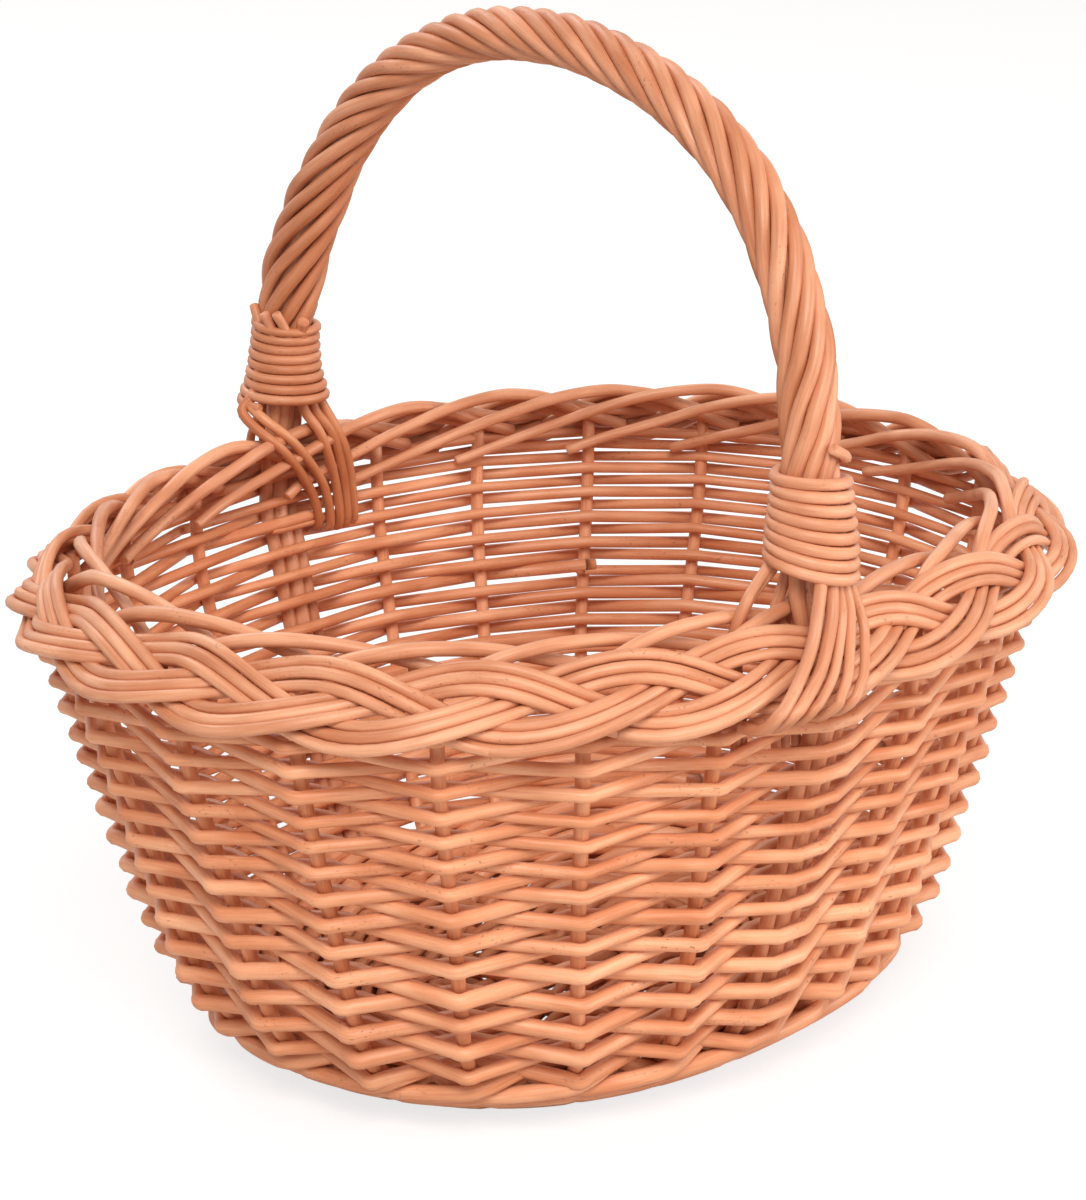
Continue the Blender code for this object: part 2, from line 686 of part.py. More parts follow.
def build_tails():
    for name, station in (("far", FAR_LEG_STATION), ("near", NEAR_LEG_STATION)):
        share = station_share(station)
        out = ring_out(share)
        along = Vector((-out.y, out.x, 0))
        outer_places = [share - lean / STATION_COUNT for lean in TAIL_OUTER_LEAN_SHARES]
        inner_places = [share - lean / STATION_COUNT for lean in TAIL_INNER_LEAN_SHARES]
        on_rim = len(TAIL_INNER_ACROSS_SHARES)
        outer = tail_on_plait(outer_places, TAIL_OUTER_ACROSS_SHARES, TAIL_OUTER_FACE_SHARES)
        inner = tail_on_plait(inner_places[:on_rim], TAIL_INNER_ACROSS_SHARES, TAIL_INNER_FACE_SHARES)
        inner += tail_down_wall(inner_places[on_rim:])
        for place, points, foot, sign in (("outer", outer, TAIL_OUTER_FOOT_HALF_WIDTH, 1),
                                          ("inner", inner, TAIL_INNER_FOOT_HALF_WIDTH, -1)):
            ups = [t.cross(along) * sign for t in path_tangents(points)]
            sections = []
            for k in range(len(points)):
                f = min(2 * k / len(points), 1)
                width = TAIL_TOP_HALF_WIDTH + (foot - TAIL_TOP_HALF_WIDTH) * f
                sections.append(lobed_section(width, TAIL_HALF_THICKNESS))
            swept(f"handle_tail_{place}_{name}", 1.0, points, ups, sections)


for ob in list(bpy.data.objects):
    bpy.data.objects.remove(ob, do_unlink=True)

build_base()
build_stakes()
build_weave()
build_border()
build_bow()
build_rope()
build_bindings()
build_tails()
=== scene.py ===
"""Oval foraging basket of peeled buff willow: woven wall, plaited border and roped bow handle."""

import bisect
import math
import random

import bmesh
import bpy
from mathutils import Matrix, Vector, noise


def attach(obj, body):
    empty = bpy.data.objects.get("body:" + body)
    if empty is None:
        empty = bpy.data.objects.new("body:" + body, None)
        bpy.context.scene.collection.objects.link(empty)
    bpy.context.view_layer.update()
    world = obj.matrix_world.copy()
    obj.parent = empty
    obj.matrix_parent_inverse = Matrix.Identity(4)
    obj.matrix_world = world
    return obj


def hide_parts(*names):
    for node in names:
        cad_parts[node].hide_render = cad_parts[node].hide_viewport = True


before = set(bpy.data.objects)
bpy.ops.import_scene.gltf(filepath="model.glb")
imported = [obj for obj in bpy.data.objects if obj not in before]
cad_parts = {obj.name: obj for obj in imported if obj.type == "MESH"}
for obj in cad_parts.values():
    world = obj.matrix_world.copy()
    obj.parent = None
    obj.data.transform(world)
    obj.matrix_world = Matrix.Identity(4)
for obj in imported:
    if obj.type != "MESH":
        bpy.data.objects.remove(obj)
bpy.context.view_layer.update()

# Sizes shared with the frame, in metres
OVAL_ASPECT = 0.797
OVAL_POWER = 2.17
STATIONS = 23
FIRST_STATION = 0.70 / STATIONS
FAR_LEG, NEAR_LEG = 5, 16
BASE_HALF_LENGTH = 0.1038
WALL_TOP_HALF_LENGTH = 0.1925
SOCKET_DEPTH, SOCKET_HEIGHT = 0.0138, 0.0062
WALL_HEIGHT = 0.1643
WALL_FLARE = (0.0, 0.121, 0.250, 0.380, 0.465, 0.532, 0.594, 0.731, 0.918, 1.0)
WALL_RISE = (0.0025, 0.0316, 0.067, 0.110, 0.1645, 0.233, 0.321, 0.548, 0.862, 1.0)
GAP = 0.0003
STAKE_RADIUS = 0.0027
WEAVER_LOW_RADIUS, WEAVER_TOP_RADIUS = 0.0033, 0.0024
WEAVER_PITCH = 1 + math.cos(math.pi / 5)
ROW_GAP = 0.0005
FIRST_ROW_RUN, ROW_TOP_CLEARANCE = 0.0063, 0.0030
BAND_COUNT = 7
STICK_MARGIN, LONG_STICK_RADIUS, SHORT_STICK_SPACING = 0.0198, 0.0030, 0.0260
PLAIT_FACE, BORDER_SEAT, BORDER_SHIFT = 0.0063, 0.0042, -0.0077
BOW_INSET, BOW_RISE, BOW_POWER, BOW_LEAN = 0.0074, 0.1655, 2.15, 0.0080
BOW_FOOT_HEIGHT = 0.0178
LEG_BEND = 0.87

UP = Vector((0, 0, 1))
GIRTH_STEPS = 1440


# Oval, wall and border lines

def signed_power(value, power):
    return math.copysign(abs(value) ** power, value)


def unit_oval(angle):
    x = signed_power(math.cos(angle), 2 / OVAL_POWER)
    y = signed_power(math.sin(angle), 2 / OVAL_POWER)
    return Vector((x, y * OVAL_ASPECT, 0))


def run_along(points):
    run = [0.0]
    for a, b in zip(points, points[1:]):
        run.append(run[-1] + (b - a).length)
    return run


ANGLES = [2 * math.pi * k / GIRTH_STEPS for k in range(GIRTH_STEPS + 1)]
GIRTH = run_along([unit_oval(a) for a in ANGLES])
GIRTH = [g / GIRTH[-1] for g in GIRTH]


def angle_at(share):
    part = share - math.floor(share)
    k = min(max(bisect.bisect_right(GIRTH, part) - 1, 0), len(ANGLES) - 2)
    return ANGLES[k] + (ANGLES[k + 1] - ANGLES[k]) * (part - GIRTH[k]) / (GIRTH[k + 1] - GIRTH[k])


def ring_point(share, half_length, height):
    return unit_oval(angle_at(share)) * half_length + UP * height


def ring_out(share):
    p = unit_oval(angle_at(share))
    x = signed_power(p.x, OVAL_POWER - 1)
    y = signed_power(p.y / OVAL_ASPECT, OVAL_POWER - 1) / OVAL_ASPECT
    return Vector((x, y, 0)).normalized()


def ring_along(share):
    out = ring_out(share)
    return Vector((-out.y, out.x, 0))


def station_share(k):
    return FIRST_STATION + k / STATIONS


KNOTS = [(BASE_HALF_LENGTH - SOCKET_DEPTH, SOCKET_HEIGHT)]
for flare, climb in zip(WALL_FLARE, WALL_RISE):
    KNOTS.append((BASE_HALF_LENGTH + (WALL_TOP_HALF_LENGTH - BASE_HALF_LENGTH) * flare,
                  SOCKET_HEIGHT + (WALL_HEIGHT - SOCKET_HEIGHT) * climb))
RUN = [0.0]
for (r0, z0), (r1, z1) in zip(KNOTS, KNOTS[1:]):
    RUN.append(RUN[-1] + math.hypot((r1 - r0) * OVAL_ASPECT, z1 - z0))


def wall_slopes():
    parts = []
    for k in range(len(KNOTS) - 1):
        run = RUN[k + 1] - RUN[k]
        (r0, z0), (r1, z1) = KNOTS[k], KNOTS[k + 1]
        parts.append(Vector(((r1 - r0) / run, (z1 - z0) / run)))
    return [parts[0]] + [(a + b) / 2 for a, b in zip(parts, parts[1:])] + [parts[-1]]


SLOPES = wall_slopes()


def wall_frame(share, run):
    """Point of the wall line, the given run up from its foot, and the direction out of the wall."""
    k = min(max(bisect.bisect_right(RUN, run) - 1, 0), len(KNOTS) - 2)
    f = (run - RUN[k]) / (RUN[k + 1] - RUN[k])
    (r0, z0), (r1, z1) = KNOTS[k], KNOTS[k + 1]
    point = ring_point(share, r0 + (r1 - r0) * f, z0 + (z1 - z0) * f)
    slope = SLOPES[k].lerp(SLOPES[k + 1], min(max(f, 0), 1))
    rise = (unit_oval(angle_at(share)) * slope.x + UP * slope.y).normalized()
    return point, ring_along(share).cross(rise).normalized()


def border_frame(share):
    """Middle of the plait, its direction across (outward and down) and out of its face."""
    out = ring_out(share)
    across, face = (out - UP).normalized(), (out + UP).normalized()
    seat = ring_point(share, WALL_TOP_HALF_LENGTH, WALL_HEIGHT)
    return seat + across * BORDER_SHIFT + face * (PLAIT_FACE + BORDER_SEAT), across, face


def border_spot(share, across_by, face_by):
    middle, across, face = border_frame(share)
    return middle + across * across_by + face * face_by


# Rods

RING_SIDES, THICK_SIDES, THIN_SIDES = 10, 12, 8
END_ROUND, END_NARROW = 0.0004, 0.8
GRAIN_REACH = 4
BEND_SHARE, BEND_REACH, BEND_EASE = 0.10, 0.0040, 0.04
BEND_STEPS = (0.28, 0.5, 0.72)


def spline(points, pieces):
    """Points of a smooth line through the given ones."""
    ends = [points[0] * 2 - points[1]] + list(points) + [points[-1] * 2 - points[-2]]
    line = []
    for a, b, c, d in zip(ends, ends[1:], ends[2:], ends[3:]):
        for k in range(pieces):
            t = k / pieces
            line.append((b * 2 + (c - a) * t + (a * 2 - b * 5 + c * 4 - d) * t * t
                         + (b * 3 - a - c * 3 + d) * t ** 3) / 2)
    return line + [points[-1].copy()]


def kinked(points):
    """Straight runs with a short round bend at every point between the ends."""
    line = [points[0]]
    for before, here, after in zip(points, points[1:], points[2:]):
        a = here + (before - here) * min(BEND_SHARE, BEND_REACH / (before - here).length)
        b = here + (after - here) * min(BEND_SHARE, BEND_REACH / (after - here).length)
        q = here * 2 - (a + b) / 2
        line.append(a.lerp(here, BEND_EASE))
        for t in BEND_STEPS:
            line.append(a * (1 - t) ** 2 + q * 2 * t * (1 - t) + b * t * t)
        line.append(b.lerp(here, BEND_EASE))
    return line + [points[-1]]


def at_bends(values):
    """One value for each point of a kinked line, from one for each spot."""
    each = len(BEND_STEPS) + 2
    return [values[0]] + [v for v in values[1:-1] for _ in range(each)] + [values[-1]]


def mix(low, high, share):
    return low + (high - low) * min(max(share, 0), 1)


def tapered(count, first, last):
    """Values that go evenly from the first towards the last."""
    return [mix(first, last, i / count) for i in range(count)]


def table(value, pairs):
    """Value read from a short table of pairs, smooth between them."""
    for (x0, y0), (x1, y1) in zip(pairs, pairs[1:]):
        if value <= x1:
            t = min(max((value - x0) / (x1 - x0), 0), 1)
            return y0 + (y1 - y0) * t * t * (3 - 2 * t)
    return pairs[-1][1]


def noise_at(*place):
    """Smooth noise between minus one and one."""
    return noise.noise(Vector(place))


def for_each(value, count):
    return list(value) if hasattr(value, "__len__") else [value] * count


class Rods:
    """A named piece made of willow rods. Each rod keeps its own grain lengthwise and its own tone."""

    def __init__(self, name):
        self.name = name
        self.draw = random.Random(name)
        self.bm = bmesh.new()
        self.layers(self.bm)

    @staticmethod
    def layers(bm):
        return bm.verts.layers.float_vector.new("grain"), bm.verts.layers.float.new("tone")

    def add(self, points, radius, sides=RING_SIDES, tone=None):
        """Sweep one rod along the points. Radius and tone are one number or one for each point."""
        draw = self.draw
        tones = for_each(draw.random() if tone is None else tone, len(points))
        tones = [tones[0]] + tones + [tones[-1]]
        radii = for_each(radius, len(points))
        radii = [radii[0] * END_NARROW] + radii + [radii[-1] * END_NARROW]
        shift = Vector([draw.uniform(0, GRAIN_REACH) for _ in range(3)])
        first = (points[1] - points[0]).normalized()
        last = (points[-1] - points[-2]).normalized()
        path = [points[0] - first * END_ROUND] + list(points) + [points[-1] + last * END_ROUND]
        run = run_along(path)
        bm = bmesh.new()
        grain, shade = self.layers(bm)
        bmesh.ops.create_circle(bm, cap_ends=True, segments=sides, radius=radii[0])
        bm.faces.ensure_lookup_table()
        face = bm.faces[0]
        turns = [2 * math.pi * k / sides for k in range(sides)]
        normal = first.orthogonal()
        for k, point in enumerate(path):
            tangent = (path[min(k + 1, len(path) - 1)] - path[max(k - 1, 0)]).normalized()
            normal = (normal - tangent * tangent.dot(normal)).normalized()
            side = tangent.cross(normal)
            if k:
                grown = bmesh.ops.extrude_face_region(bm, geom=[face, *face.edges, *face.verts])["geom"]
                face = next(g for g in grown if isinstance(g, bmesh.types.BMFace))
            for vert, turn in zip(face.verts, turns):
                x, y = radii[k] * math.cos(turn), radii[k] * math.sin(turn)
                vert.co = point + normal * x + side * y
                vert[grain] = Vector((x, y, run[k])) + shift
                vert[shade] = tones[k]
        for side_face in bm.faces:
            side_face.smooth = len(side_face.verts) == 4
        bmesh.ops.recalc_face_normals(bm, faces=bm.faces)
        mesh = bpy.data.meshes.new("rod")
        bm.to_mesh(mesh)
        bm.free()
        self.bm.from_mesh(mesh)
        bpy.data.meshes.remove(mesh)

    def done(self, material, *nodes):
        """Make the piece, which rides on the basket's one body and stands for the given nodes."""
        mesh = bpy.data.meshes.new(self.name)
        self.bm.to_mesh(mesh)
        self.bm.free()
        mesh.materials.append(material)
        piece = bpy.data.objects.new(self.name, mesh)
        bpy.context.scene.collection.objects.link(piece)
        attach(piece, "root")
        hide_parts(*nodes)


# Willow materials

STREAK_TINT, FIBRE_TINT = (0.84, 0.68, 0.58, 1), (0.80, 0.68, 0.60, 1)
SPECK = (0.30, 0.115, 0.052, 1)
FIBRE_HEIGHT, BLOTCH_HEIGHT, SPECK_DEPTH = 0.35, 1.4, 0.5
BUMP_STRENGTH, BUMP_DISTANCE = 0.5, 0.0004
SHINE = 0.42


def add_node(tree, kind, place, **settings):
    node = tree.nodes.new(kind)
    node.location = place
    for key, value in settings.items():
        setattr(node, key, value)
    return node


def willow_group():
    """Peeled willow: long fibres, soft blotches, brown specks and bud scars, and a tone for each rod; on some
    rods painted shade is added to the tone.
    """
    group = bpy.data.node_groups.new("willow_grain", "ShaderNodeTree")
    takes = (("Grain", "Vector"), ("Tone", "Float"), ("Pale", "Color"), ("Deep", "Color"), ("Speck", "Color"),
             ("Roughness", "Float"))
    gives = (("Color", "Color"), ("Roughness", "Float"), ("Height", "Float"))
    for way, sockets in (("INPUT", takes), ("OUTPUT", gives)):
        for name, kind in sockets:
            group.interface.new_socket(name=name, in_out=way, socket_type=f"NodeSocket{kind}")
    link = group.links.new
    inp = add_node(group, "NodeGroupInput", (-1400, 0))
    out = add_node(group, "NodeGroupOutput", (900, 0))

    def feed(socket, value):
        if isinstance(value, bpy.types.NodeSocket):
            link(value, socket)
        else:
            socket.default_value = value

    def clouds(stretch, row, scale, detail, rough=0.5):
        """Noise in the rod's own grain, drawn out lengthwise by a stretch below one."""
        shape = add_node(group, "ShaderNodeMapping", (-1150, row), vector_type="POINT")
        shape.inputs["Scale"].default_value = (1.0, 1.0, stretch)
        link(inp.outputs["Grain"], shape.inputs["Vector"])
        node = add_node(group, "ShaderNodeTexNoise", (-900, row))
        for key, value in (("Scale", scale), ("Detail", detail), ("Roughness", rough)):
            node.inputs[key].default_value = value
        link(shape.outputs["Vector"], node.inputs["Vector"])
        return node.outputs["Fac"]

    def ramp(value, low, high, to_low, to_high, place):
        node = add_node(group, "ShaderNodeMapRange", place, interpolation_type="SMOOTHSTEP")
        for key, number in (("From Min", low), ("From Max", high), ("To Min", to_low), ("To Max", to_high)):
            node.inputs[key].default_value = number
        link(value, node.inputs["Value"])
        return node.outputs["Result"]

    def sums(kind, a, b, place):
        node = add_node(group, "ShaderNodeMath", place, operation=kind)
        feed(node.inputs[0], a)
        feed(node.inputs[1], b)
        return node.outputs["Value"]

    def blend(kind, factor, a, b, place):
        node = add_node(group, "ShaderNodeMix", place, data_type="RGBA", blend_type=kind)
        for socket, value in zip((node.inputs[0], node.inputs[6], node.inputs[7]), (factor, a, b)):
            feed(socket, value)
        return node.outputs[2]

    fibres = clouds(0.035, 300, 1500, 3, 0.6)
    streaks = clouds(0.10, 100, 330, 3)
    blotches = clouds(0.45, -100, 75, 2)
    patches = clouds(0.8, -300, 42, 1)
    dots = clouds(0.62, -500, 1000, 2)

    tone = sums("ADD", sums("MULTIPLY", inp.outputs["Tone"], 0.70, (-700, 260)),
                ramp(blotches, 0.34, 0.68, -0.12, 0.52, (-700, 100)), (-500, 200))
    colour = blend("MIX", tone, inp.outputs["Pale"], inp.outputs["Deep"], (-300, 200))
    streaked = ramp(streaks, 0.40, 0.64, 0.0, 0.62, (-500, 0))
    colour = blend("MULTIPLY", streaked, colour, STREAK_TINT, (-100, 200))
    fibred = ramp(fibres, 0.42, 0.68, 0.0, 0.50, (-500, -100))
    colour = blend("MULTIPLY", fibred, colour, FIBRE_TINT, (60, 200))
    specks = sums("MULTIPLY", ramp(patches, 0.52, 0.68, 0.06, 1.0, (-500, -300)),
                  ramp(dots, 0.60, 0.74, 0.0, 0.70, (-500, -500)), (-300, -400))
    link(blend("MIX", specks, colour, inp.outputs["Speck"], (220, 200)), out.inputs["Color"])
    rough = ramp(streaks, 0.35, 0.7, -0.05, 0.09, (60, -100))
    link(sums("ADD", inp.outputs["Roughness"], rough, (300, -100)), out.inputs["Roughness"])
    height = sums("ADD", sums("MULTIPLY", fibres, FIBRE_HEIGHT, (60, -300)),
                  sums("MULTIPLY", blotches, BLOTCH_HEIGHT, (60, -450)), (240, -350))
    height = sums("SUBTRACT", height, sums("MULTIPLY", specks, SPECK_DEPTH, (240, -500)), (420, -350))
    link(height, out.inputs["Height"])
    return group


def willow(group, name, pale, deep, rough=0.44):
    material = bpy.data.materials.new(name)
    material.use_nodes = True
    material.diffuse_color = (*pale, 1)
    tree = material.node_tree
    link = tree.links.new
    shader = tree.nodes["Principled BSDF"]
    shader.inputs["Specular IOR Level"].default_value = SHINE
    grain = add_node(tree, "ShaderNodeAttribute", (-900, 100), attribute_name="grain")
    tone = add_node(tree, "ShaderNodeAttribute", (-900, -100), attribute_name="tone")
    look = add_node(tree, "ShaderNodeGroup", (-600, 0), node_tree=group)
    for key, value in (("Pale", (*pale, 1)), ("Deep", (*deep, 1)), ("Speck", SPECK), ("Roughness", rough)):
        look.inputs[key].default_value = value
    relief = add_node(tree, "ShaderNodeBump", (-300, -200))
    relief.inputs["Strength"].default_value = BUMP_STRENGTH
    relief.inputs["Distance"].default_value = BUMP_DISTANCE
    link(grain.outputs["Vector"], look.inputs["Grain"])
    link(tone.outputs["Fac"], look.inputs["Tone"])
    link(look.outputs["Height"], relief.inputs["Height"])
    link(look.outputs["Color"], shader.inputs["Base Color"])
    link(look.outputs["Roughness"], shader.inputs["Roughness"])
    link(relief.outputs["Normal"], shader.inputs["Normal"])
    return material


grain_group = willow_group()
SIDE = willow(grain_group, "willow_side", (0.93, 0.475, 0.270), (0.72, 0.285, 0.135))
BORDER = willow(grain_group, "willow_border", (0.82, 0.410, 0.238), (0.61, 0.245, 0.120))
HANDLE = willow(grain_group, "willow_handle", (0.79, 0.380, 0.220), (0.58, 0.230, 0.110))
# Darker copy of the handle's willow: painted shade for the far tails
HANDLE_PAINTED_SHADE = willow(grain_group, "willow_handle_painted_shade", (0.70, 0.300, 0.145), (0.54, 0.190, 0.078))
STICK = willow(grain_group, "willow_stick", (0.76, 0.355, 0.185), (0.58, 0.215, 0.100), rough=0.5)


# Stakes and weave

# How far stakes and rows drift, and how fast: by station and run, and round the basket and by run
STAKE_DRIFT, ROW_DRIFT = 0.0016, 0.0016
STAKE_DRIFT_RATES, ROW_DRIFT_RATES = (3.7, 16), (2.1, 22)
STAKE_TOP = (-0.004, -0.0035)
STAKE_TAPER = (0.00285, 0.0025)
# Share of the left end's painted shade that the stakes get
STAKE_PAINTED_SHADE = 0.7
SEEN_LOW_RADIUS, SEEN_TOP_RADIUS = 0.00305, 0.00208
EXTRA_STEPS = 2 * STATIONS + 3
OVER_TOP_SHARE = 0.6
LEG_SPREAD, LEG_CORE = 0.0062, 0.0036
WALE_STEPS = 4 * STATIONS - 1
WALE_RUNS = (0.0178, 0.0252, 0.0328, 0.0404)
WALE_RADIUS, WALE_SWING = 0.0031, 0.0034
WALE_PUSH, WALE_PUSH_OUT = 1.5, 0.3
WALE_RODS, WALE_POINTS = 3, 8
# One weaving rod: its length in steps from stake to stake, the fewest steps left for another, its
# thickness and taper, how its rows wander, how it parts from the next rod and how its ends stand out
ROD_STEPS = (34, 38, 40, 44, 48)
FEWEST_STEPS = 8
ROD_SPREAD, ROD_TAPER = (0.94, 1.10), (1.10, 0.90)
ROW_JITTER, SEAM_LIFT = 0.0005, 0.0011
END_REACH = (0.003, 0.005)
BUTT_SHARE, TIP_SHARE = 0.85, 0.7
# Painted shade: how much browner and darker the wall is painted inside at the left end, by station, where
# less light reaches it
LEFT_END_PAINTED_SHADE = ((4.0, 0.0), (6.0, 0.95), (8.6, 0.95), (10.5, 0.0), (23.0, 0.0))


def wander(station, run):
    """Small sideways drift of a stake, in metres along the rim."""
    by_station, by_run = STAKE_DRIFT_RATES
    return noise_at(station * by_station, run * by_run, 0.5) * STAKE_DRIFT


def row_wave(share, run):
    """Slow rise and fall of the rows round the basket."""
    a = 2 * math.pi * share
    round_rate, by_run = ROW_DRIFT_RATES
    return noise_at(math.cos(a) * round_rate, math.sin(a) * round_rate, run * by_run) * ROW_DRIFT


def row_climbs():
    """Share of the woven height at each step from stake to stake, as the frame's weavers climb."""
    room = ROW_LAST - ROW_FIRST
    climbs = [0.0]
    while climbs[-1] < 1:
        radius = mix(WEAVER_LOW_RADIUS, WEAVER_TOP_RADIUS, climbs[-1])
        climbs.append(climbs[-1] + (radius * WEAVER_PITCH + ROW_GAP) / STATIONS / room)
    climbs.pop()
    return [c / climbs[-1] for c in climbs]


ROW_FIRST = RUN[1] + FIRST_ROW_RUN
ROW_LAST = RUN[-1] - ROW_TOP_CLEARANCE
CLIMBS = row_climbs()
FRAME_STEPS = len(CLIMBS) - 1
CLIMBS += [2 * CLIMBS[-1] - CLIMBS[-1 - k] for k in range(1, EXTRA_STEPS + 1)]


def weave_spots(m, radius, lift):
    """Where a weaver bends round upright m: one spot, or two round the group at a leg."""
    station = m % STATIONS
    on_leg = station in (FAR_LEG, NEAR_LEG)
    share = station_share(station)
    run = ROW_FIRST + (ROW_LAST - ROW_FIRST) * CLIMBS[m]
    point, out = wall_frame(share, run + row_wave(share, run) + lift)
    side = 1 if m % 2 == 0 else -1
    along = ring_along(share)
    reach = (LEG_CORE if on_leg else STAKE_RADIUS) + radius + GAP
    reach *= OVER_TOP_SHARE if side > 0 and run > RUN[-1] else 1
    spot = point + out * side * reach + along * wander(station, run)
    return [spot - along * LEG_SPREAD, spot + along * LEG_SPREAD] if on_leg else [spot]


def build_stakes():
    uprights = [k for k in range(STATIONS) if k not in (FAR_LEG, NEAR_LEG)]
    for count, k in enumerate(uprights, 1):
        share = station_share(k)
        rods = Rods(f"willow_stake_{count:02d}")
        along = ring_along(share)
        knots = [ring_point(share, r, z) + along * wander(k, run) for (r, z), run in zip(KNOTS, RUN)]
        knots[-1] = border_spot(share, *STAKE_TOP)
        line = spline(knots, 3)
        # The stake's tone, with painted shade added at the left end
        tone = rods.draw.random() + STAKE_PAINTED_SHADE * table(k, LEFT_END_PAINTED_SHADE)
        rods.add(line, tapered(len(line), *STAKE_TAPER), tone=tone)
        rods.done(SIDE, f"side_stake_{count:02d}")


def weaver_rod(draw, start, stop):
    """Line, radii and added painted shade of the rod that weaves from step start to step stop; the shade is
    painted on its inside spots at the left end.
    """
    thick = draw.uniform(*ROD_SPREAD)
    spots, radii, painted_shades = [], [], []
    for m in range(start, stop + 1):
        seen = mix(SEEN_LOW_RADIUS, SEEN_TOP_RADIUS, CLIMBS[m])
        radius = seen * thick * mix(*ROD_TAPER, (m - start) / (stop - start))
        lift = draw.uniform(-ROW_JITTER, ROW_JITTER)
        if start > WALE_STEPS + 2:
            lift += SEAM_LIFT * max(0, 1 - (m - start) / 2)
        if stop < len(CLIMBS) - 1:
            lift -= SEAM_LIFT * max(0, 1 - (stop - m) / 2)
        here = weave_spots(m, radius, lift)
        spots += here
        radii += [radius] * len(here)
        # Painted shade on the inside spots at the left end
        painted_shades += [table(m % STATIONS, LEFT_END_PAINTED_SHADE) if m % 2 else 0.0] * len(here)
    spots.insert(0, spots[0] + (spots[0] - spots[1]).normalized() * draw.uniform(*END_REACH))
    spots.append(spots[-1] + (spots[-1] - spots[-2]).normalized() * draw.uniform(*END_REACH))
    radii = [radii[0] * BUTT_SHARE] + radii + [radii[-1] * TIP_SHARE]
    painted_shades = [painted_shades[0]] + painted_shades + [painted_shades[-1]]
    return kinked(spots), at_bends(radii), at_bends(painted_shades)


def build_weave():
    """Weaving rods end to end in a spiral above the wale, each in the frame's band that it lies in."""
    steps = len(CLIMBS) - 1
    seams = [round(FRAME_STEPS * k / BAND_COUNT) for k in range(BAND_COUNT + 1)]
    bands = [Rods(f"willow_weave_{k + 1}") for k in range(BAND_COUNT)]
    draw = random.Random("weave")
    start = WALE_STEPS + 2
    while start < steps - 2:
        stop = start + draw.choice(ROD_STEPS)
        stop = steps if stop > steps - FEWEST_STEPS else stop
        band = bands[min(bisect.bisect_right(seams, (start + stop) // 2) - 1, BAND_COUNT - 1)]
        line, radii, painted_shades = weaver_rod(draw, start, stop)
        tone = band.draw.random()
        # Each point's tone, with the painted shade added
        band.add(line, radii, tone=[tone + shade for shade in painted_shades])
        start = stop
    build_wale(bands[0])
    for k, band in enumerate(bands):
        band.done(SIDE, f"side_weaver_{k + 1}")


def build_wale(rods):
    """Rounds of three rods twisted round the feet of the stakes, each outside two and inside one."""
    for n, wale_run in enumerate(WALE_RUNS):
        for strand in range(WALE_RODS):
            line = []
            for k in range(STATIONS * WALE_POINTS + 1):
                t = k / WALE_POINTS + 2 * n
                share = station_share(t)
                phase = 2 * math.pi * (t + strand + n) / WALE_RODS - math.pi / 3
                lift = WALE_SWING * math.sin(phase) + row_wave(share, wale_run)
                point, out = wall_frame(share, wale_run + lift)
                push = max(-1, min(1, WALE_PUSH * math.cos(phase) + WALE_PUSH_OUT))
                line.append(point + out * push * (STAKE_RADIUS + WALE_RADIUS))
            smooth = [(a + b * 2 + c) / 4 for a, b, c in zip(line, line[1:], line[2:])]
            rods.add([line[0]] + smooth + [line[-1]], WALE_RADIUS)


# Base

STICK_HALF = BASE_HALF_LENGTH - STICK_MARGIN
BASE_MIDDLE = 0.0080
SHORT_PLACES = [(k - 2) * SHORT_STICK_SPACING for k in range(5)]
LONG_PLACES = [(k - 1) * (2 * LONG_STICK_RADIUS + GAP) for k in range(3)]
# A short stick is split: two halves that bow apart round the long sticks
HALF_STICK_RADIUS, HALF_STICK_SHIFT = 0.0028, 0.0013
SPLIT_OPENING, SPLIT_REACH = 0.0034, 0.016
BASE_ROWS, BASE_STEPS = 17, 96
BASE_ROD, BASE_SWING = 0.0021, 0.0057
BASE_CORE = (SHORT_PLACES[-1] + 0.0075, 0.0125)


def oval_half_width(x, half_length):
    inside = max(1 - abs(x / half_length) ** OVAL_POWER, 0)
    return OVAL_ASPECT * half_length * inside ** (1 / OVAL_POWER)


def build_sticks():
    for k, y in enumerate(LONG_PLACES):
        rods = Rods(f"willow_base_long_{k + 1}")
        line = [Vector((STICK_HALF * (i / 8 - 1), y, BASE_MIDDLE)) for i in range(17)]
        rods.add(line, LONG_STICK_RADIUS, sides=THICK_SIDES)
        rods.done(STICK, f"base_long_stick_{k + 1}")
    for k, x in enumerate(SHORT_PLACES):
        rods = Rods(f"willow_base_short_{k + 1}")
        half = oval_half_width(x, STICK_HALF)
        for side in (-1, 1):
            line = []
            for i in range(25):
                y = half * (i / 12 - 1)
                apart = HALF_STICK_SHIFT + SPLIT_OPENING * math.exp(-(y / SPLIT_REACH) ** 4)
                line.append(Vector((x, y, BASE_MIDDLE + side * apart)))
            rods.add(line, HALF_STICK_RADIUS, sides=THICK_SIDES)
        rods.done(STICK, f"base_short_stick_{k + 1}")


def base_spiral(rod):
    """Flat line of one of the two rods that go round the base in turn, half a round apart."""
    points = []
    for k in range(BASE_STEPS * BASE_ROWS // 2 + 1):
        turn = k / BASE_STEPS
        angle = 2 * math.pi * turn
        outer = unit_oval(angle) * (BASE_HALF_LENGTH - BASE_ROD)
        x, y = signed_power(math.cos(angle), 0.5), signed_power(math.sin(angle), 0.5)
        core = Vector((BASE_CORE[0] * x, BASE_CORE[1] * y, 0))
        points.append(core.lerp(outer, min((turn * 2 + rod) / BASE_ROWS, 1)))
    return points


def stick_crossings(points):
    crossings = []
    for k, (a, b) in enumerate(zip(points, points[1:])):
        for x in SHORT_PLACES:
            if (a.x - x) * (b.x - x) < 0:
                crossings.append(k)
        if a.y * b.y <= 0 and abs(a.x) > SHORT_PLACES[-1]:
            crossings.append(k)
    return crossings


